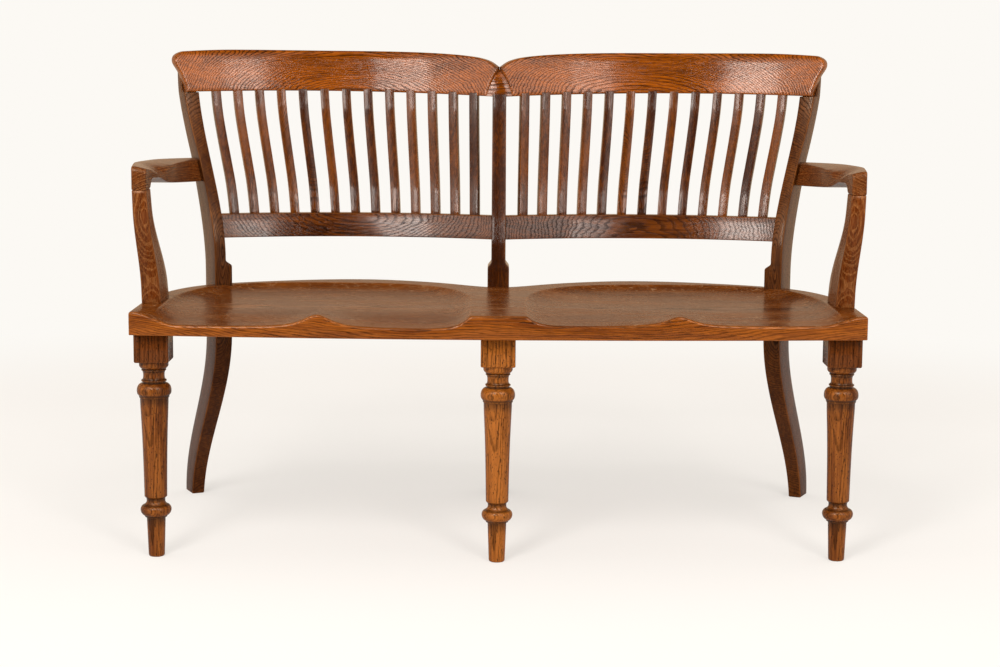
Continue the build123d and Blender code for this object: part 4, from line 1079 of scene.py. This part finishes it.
def rail_tree():
    """A level rail bowed round an arc, leaning back as it rises."""
    tree, given, add = new_tree("bowed_rail", [
        ("Steps", "Int", 70), ("Radius", "Float", 0.727), ("Centre", "Vector", None),
        ("Inner Angle", "Float", 0.0), ("Outer Angle", "Float", 0.0), ("Base Height", "Float", 0.529),
        ("Height", "Float", 0.044), ("Thickness", "Float", 0.022), ("Lean", "Float", 0.4),
        ("Side", "Float", 1.0), ("Material", "Material", None)])
    bar = add("MeshCube", (1.0, 1.0, 1.0), given["Steps"], 2, 2)
    own = add("SeparateXYZ", add("InputPosition"), out=None).outputs
    angle = add("MapRange", own["X"], -0.5, 0.5, given["Inner Angle"], given["Outer Angle"])
    reach = add("Math MULTIPLY_ADD", add("Math ADD", own["Y"], 0.5), given["Thickness"], given["Radius"])
    rise = add("Math MULTIPLY", own["Z"], given["Height"])
    reach = add("Math MULTIPLY_ADD", rise, given["Lean"], reach)
    place = arc_place(add, angle, reach, given["Centre"])
    middle = add("Math MULTIPLY_ADD", given["Height"], 0.5, given["Base Height"])
    bar = set_up(add, bar, place, add("Math ADD", rise, middle), given["Side"])
    return close_tree(tree, bar, given["Material"])


def screw_tree():
    """A slotted wood screw at every place, its flat head outwards and its slot turned at random."""
    tree, given, add = new_tree("slotted_screws", [
        ("Head Radius", "Float", 0.005), ("Shank Radius", "Float", 0.0025), ("Head Height", "Float", 0.004),
        ("Length", "Float", 0.03), ("Slot Width", "Float", 0.0012), ("Slot Depth", "Float", 0.0016),
        ("Seed", "Int", 7), ("Material", "Material", None)])
    head = add(
        "MeshCone", Vertices=32, Radius_Top=given["Head Radius"], Radius_Bottom=given["Shank Radius"],
        Depth=given["Head Height"])
    under = add("CombineXYZ", 0.0, 0.0, add("Math MULTIPLY", given["Head Height"], -1.0))
    head = add("Transform", head, Translation=under)
    wide = add("Math MULTIPLY", given["Head Radius"], 3.0)
    deep = add("Math MULTIPLY", given["Slot Depth"], 2.0)
    cutter = add("MeshCube", add("CombineXYZ", wide, given["Slot Width"], deep))
    head = add("MeshBoolean DIFFERENCE", Mesh_1=head, Mesh_2=cutter)
    shank = add("MeshCylinder", Vertices=24, Radius=given["Shank Radius"], Depth=given["Length"])
    half = add("Math MULTIPLY", add("Math MULTIPLY_ADD", given["Length"], 0.5, 0.002), -1.0)
    shank = add("Transform", shank, Translation=add("CombineXYZ", 0.0, 0.0, half))
    screw = add("JoinGeometry", head)
    tree.links.new(shank, screw.node.inputs[0])
    screws = add(
        "InstanceOnPoints", add("MeshToPoints", given["Geometry"]), Instance=screw,
        Rotation=add("InputNamedAttribute FLOAT_VECTOR", "facing"))
    turn = add("Math MULTIPLY", add("RandomValue FLOAT", Seed=given["Seed"]), math.pi)
    screws = add("RotateInstances", screws, Rotation=add("CombineXYZ", 0.0, 0.0, turn))
    return close_tree(tree, screws, given["Material"])


def turned_out(piece):
    # A mirrored shape comes out inside out, so its faces are turned to point outwards.
    with reworked(piece.data) as whole:
        bmesh.ops.recalc_face_normals(whole, faces=whole.faces)


def arc_centre(arc):
    return (arc.x * MM, (arc.y + SHIFT_Y) * MM, 0.0)


def slat_grain(piece, side):
    """Each slat is sawn from its own part of the tree, so each shows its own grain and tone."""
    mesh = piece.data
    numbers = np.zeros(len(mesh.vertices), np.float32)
    mesh.attributes["slat"].data.foreach_get("value", numbers)
    chance = np.random.default_rng(31 + side)
    shifts = chance.uniform((-0.06, -0.10, 0), (0.06, -0.03, 3.0), (SLATS, 3))
    tones = chance.uniform(0.02, 0.72, SLATS)
    lay_grain(piece, (0, 0.3, 1), (side * 0.3, 0.15, 0.6))
    which = np.rint(numbers).astype(int)
    tree = np.zeros(len(mesh.vertices) * 3, np.float32)
    mesh.attributes["tree"].data.foreach_get("vector", tree)
    tree = tree.reshape(-1, 3) + shifts[which]
    mesh.attributes["tree"].data.foreach_set("vector", tree.astype(np.float32).ravel())
    mesh.attributes["tone"].data.foreach_set("value", tones[which].astype(np.float32))


SLAT_TREE, RAIL_TREE = slat_tree(), rail_tree()
FOOT_OUT = RAIL_LEAN * RAIL_TALL / 2 + RAIL_THICK / 2
HEAD_OUT = CREST_LEAN * 7.0 + CREST_THICK / 2
for side, word in SIDES:
    values = {
        "Slats": SLATS, "Width": SLAT_WIDE * MM, "Thickness": SLAT_THICK * MM,
        "Foot Height": (RAIL_LOW + RAIL_TALL - 1.0) * MM, "Head Height": SLAT_HEAD * MM,
        "Head Arch": SLAT_ARCH * MM, "Side": float(side), "Material": RAIL_OAK}
    for part, arc, out, (first, last) in (
            ("Foot", RAIL_ARC, FOOT_OUT, FOOT_ENDS), ("Head", CREST_ARC, HEAD_OUT, HEAD_ENDS)):
        values[part + " Radius"] = (arc.radius + out) * MM
        values[part + " Centre"] = arc_centre(arc)
        values[f"First {part} Angle"] = arc.inner_angle + first / arc.radius
        values[f"Last {part} Angle"] = arc.outer_angle - last / arc.radius
    slats = grown("slats_" + word, SLAT_TREE, values, 1.0 * MM)
    turned_out(slats)
    slat_grain(slats, side)
    finish_piece(slats, RAIL_OAK, [f"back_slat_{word}_{number:02d}" for number in range(1, SLATS + 1)])
    rail = grown("lower_rail_" + word, RAIL_TREE, {
        "Steps": 90, "Radius": RAIL_ARC.radius * MM, "Centre": arc_centre(RAIL_ARC),
        "Inner Angle": RAIL_ARC.angle_at(4.0), "Outer Angle": RAIL_ARC.outer_angle + 6.0 / RAIL_ARC.radius,
        "Base Height": RAIL_LOW * MM, "Height": RAIL_TALL * MM, "Thickness": RAIL_THICK * MM,
        "Lean": RAIL_LEAN, "Side": float(side), "Material": RAIL_OAK}, 1.8 * MM)
    turned_out(rail)
    lay_grain(rail, (1, 0, side * 0.03), (side * 0.27, 0.30, 0.50 - 0.02 * side), tone=0.3)
    finish_piece(rail, RAIL_OAK, ["lower_back_rail_" + word])


def screw_groups():
    """Where each group's screws sit, as (point, way in), and how long they are."""
    inwards, across = (-math.sin(SPLAY), -math.cos(SPLAY), 0), (math.cos(SPLAY), -math.sin(SPLAY), 0)
    seat_screws = [((0, MIDDLE_POST_Y + POST_FOOT, z), (0, -1, 0)) for z in SEAT_SCREW_LEVELS]
    crest_screws = [
        ((x, MIDDLE_POST_Y + rear_of_post(z), z), (0, -1, 0))
        for x, z in ((-7.5, 830.0), (7.5, 830.0), (0.0, 809.0))]
    arm_screws, support_screws = [], []
    arm_deep = (front_rake(ARM_SCREW_LEVEL) + 13.0 + rear_of_post(ARM_SCREW_LEVEL) - 3.0) / 2
    crest_place = on_right(-7.0, rear_of_post(CREST_SCREW_LEVEL))
    rows = [(seat_screws, on_right(-17.0, POST_FOOT), z, inwards) for z in SEAT_SCREW_LEVELS]
    rows.append((crest_screws, crest_place, CREST_SCREW_LEVEL, inwards))
    rows.append((arm_screws, on_right(-22.0, arm_deep), ARM_SCREW_LEVEL, across))
    rows.extend((support_screws, (613.5, y), SEAT_UNDER, (0, 0, 1)) for y in (146.5, 170.5))
    for side, _ in SIDES:
        for group, place, z, way in rows:
            group.append(((side * place[0], place[1], z), (side * way[0], way[1], way[2])))
    return {
        "seat_screws": (seat_screws, 82.0), "crest_screws": (crest_screws, 28.0),
        "arm_screws": (arm_screws, 45.0), "arm_support_screws": (support_screws, 38.0)}


# The heads stand a little proud of the wood, so that they show.
PROUD = {"seat_screws": 0.3, "crest_screws": 0.8, "arm_screws": 0.3, "arm_support_screws": 0.2}
SCREW_TREE = screw_tree()
for node, (group, length) in screw_groups().items():
    places = []
    for point, way in group:
        lifted = np.array(point) - PROUD[node] * np.array(way)
        facing = (-Vector(way)).to_track_quat("Z", "Y").to_euler()
        places.append((to_frame([lifted])[0], tuple(facing)))
    screws = grown("slotted_" + node, SCREW_TREE, {
        "Head Radius": 5.0 * MM, "Shank Radius": 2.5 * MM, "Head Height": 4.0 * MM,
        "Length": (length - 2.0) * MM, "Slot Width": 1.2 * MM, "Slot Depth": 1.6 * MM, "Seed": 7,
        "Material": SCREW_STEEL}, places=places)
    finish_piece(screws, SCREW_STEEL, [node], sharp_angle=30.0)


# Camera, light, floor

# The photograph's camera: focal length and width in pixels, place in drawn millimetres, and turns
FOCAL, FRAME = 2036.276, 1000.0
CAMERA_PLACE = (-7.612, -3459.06, 896.78)
CAMERA_DOWN, CAMERA_ASIDE, CAMERA_ROLL = 0.14074456, 0.00302747, 0.00742951


def make_camera():
    lens = bpy.data.cameras.new("view")
    lens.sensor_width, lens.lens = 36.0, FOCAL * 36.0 / FRAME
    lens.clip_end = 60.0
    camera = new_object("view", lens)
    level = Vector((math.sin(CAMERA_ASIDE), math.cos(CAMERA_ASIDE), 0.0))
    ahead = level * math.cos(CAMERA_DOWN) - Vector((0.0, 0.0, math.sin(CAMERA_DOWN)))
    right = Vector((level.y, -level.x, 0.0))
    up = right.cross(ahead)
    cosine, sine = math.cos(CAMERA_ROLL), math.sin(CAMERA_ROLL)
    right, up = right * cosine + up * sine, up * cosine - right * sine
    turn = Matrix((right, up, -ahead)).transposed().to_4x4()
    camera.matrix_world = Matrix.Translation(to_frame([CAMERA_PLACE])[0]) @ turn
    bpy.context.scene.camera = camera


def softbox(name, place, aim, wide, tall, power, mirrored):
    """A soft lamp. Only a mirrored one shows in the wax, as a band of light with a clear edge."""
    lamp = bpy.data.lights.new(name, "AREA")
    lamp.shape, lamp.size, lamp.size_y, lamp.energy = "RECTANGLE", wide, tall, power
    lamp.color = (1.0, 0.985, 0.965)
    thing = new_object(name, lamp)
    thing.location = place
    thing.rotation_euler = (Vector(aim) - Vector(place)).to_track_quat("-Z", "Y").to_euler()
    thing.visible_camera, thing.visible_glossy = False, mirrored


def make_room():
    """A pale studio. It is white to the camera and even to the wood, and in the wax it is dark
    round the camera, with a bright panel at each side of it and a warm wall behind the settee."""
    world = bpy.data.worlds.new("pale_studio")
    bpy.context.scene.world = world
    world.use_nodes = True
    world.node_tree.nodes.clear()
    add = partial(add_node, world.node_tree)
    path = add("LightPath", out=None).outputs
    way = add("TexCoord", out="Generated")
    own = add("SeparateXYZ", way, out=None).outputs
    level = add("VectorMath NORMALIZE", add("VectorMath MULTIPLY", way, (1.0, 1.0, 0.0)))
    back = add("SeparateXYZ", level, out="Y")

    # How bright the walls look in the wax, from straight behind the camera round to the settee's back
    walls = add("FloatCurve", Value=add("MapRange", back, -1.0, 1.0))
    shape_curve(walls, (
        (0.0, 0.015), (0.033, 0.02), (0.038, 0.50), (0.13, 0.78), (0.20, 0.50), (0.40, 0.20), (0.60, 0.22),
        (1.0, 0.22)), "VECTOR")
    walls = add("Math MULTIPLY", walls, 2.0)

    # A bright ceiling edge above the panels
    edge = add("MapRange", back, -0.934, -0.924, 0.0, 2.6)
    edge = add("Math MULTIPLY", edge, add("MapRange", own["Z"], 0.36, 0.46))
    edge = add("Math MULTIPLY", edge, add("MapRange", back, -0.8, -0.3, 1.0, 0.0))

    # The wall behind the settee is brightest low down, and the ceiling is dim overhead.
    low = add("MapRange SMOOTHSTEP", own["Z"], 0.02, 0.20, 1.7, 1.35)
    low = add("Math MULTIPLY", low, add("MapRange SMOOTHSTEP", own["Z"], 0.36, 0.60, 1.0, 0.1))
    behind = add("MapRange SMOOTHSTEP", back, -0.2, 0.5, 1.0, low)
    overhead = add("MapRange SMOOTHSTEP", own["Z"], 0.7, 0.95, 1.0, 0.35)
    seen = add("Math MULTIPLY", add("Math MULTIPLY_ADD", walls, behind, edge), overhead)

    # The wall behind looks warmer in the wax than the lamps in front do.
    tint = add("Mix RGBA", add("MapRange", back, 0.2, 0.8), linear("FBF6F0"), linear("F4D2AE"))
    glossy = add("Background", tint, seen)
    even = add("Math MULTIPLY_ADD", add("Math ABSOLUTE", own["X"]), 0.75, 0.50)
    lit = add("Background", linear("FBF7F2"), even)
    for ray in ("Is Glossy Ray", "Is Transmission Ray"):
        lit = add("MixShader", path[ray], lit, glossy)
    shown = add("Background", linear("FCF9F4"), 1.0)
    add("OutputWorld", add("MixShader", path["Is Camera Ray"], lit, shown), out=None)


def make_floor():
    """A round white floor that fades into the wall's colour, so that no edge shows."""
    rings, around, reach = 40, 96, 3.2
    turns = [2 * math.pi * k / around for k in range(around)]
    points, faces = [(0.0, 0.0, 0.0)], [(0, 1 + k, 1 + (k + 1) % around) for k in range(around)]
    for ring in range(1, rings + 1):
        out = reach * (ring / rings) ** 1.3
        points.extend((out * math.cos(turn), out * math.sin(turn), 0.0) for turn in turns)
    faces.extend(tuple(1 + i for i in face[::-1]) for face in bands(rings, around))
    mesh = bpy.data.meshes.new("floor")
    mesh.from_pydata(points, [], faces)
    floor = new_object("floor", mesh)
    material, add = new_material("white_painted_floor")
    away = add("VectorMath LENGTH", add("TexCoord", out="Object"))
    fade = add("MapRange SMOOTHSTEP", away, 1.7, 2.9)
    path = add("LightPath", out=None).outputs
    colour = add("BsdfDiffuse", linear("F6F2EE"))
    # The camera sees the paint partly as it is written, and the wax sees a dim floor.
    for share, code in (
            (add("Math MULTIPLY", path["Is Camera Ray"], 0.6), "F7F3ED"), (fade, "FCF9F4"),
            (add("Math MULTIPLY", path["Is Glossy Ray"], 0.6), "4A4642")):
        colour = add("MixShader", share, colour, add("Emission", linear(code), 1.0))
    add("OutputMaterial", colour, out=None)
    mesh.materials.append(material)


make_camera()
make_room()
make_floor()
softbox("far_softbox_left", (-3.2, -7.0, 6.0), (0, 0, 0.6), 2.5, 3.8, 185.0, False)
softbox("far_softbox_right", (3.0, -7.1, 6.0), (0, 0, 0.6), 2.5, 3.8, 185.0, False)
softbox("near_softbox_left", (-1.22, -3.1, 3.0), (-0.3, 0.1, 0.7), 0.85, 1.9, 60.0, True)
softbox("near_softbox_right", (1.38, -3.3, 3.0), (0.5, 0.1, 0.7), 0.66, 1.9, 27.0, True)
bpy.context.scene.view_settings.view_transform = "Standard"
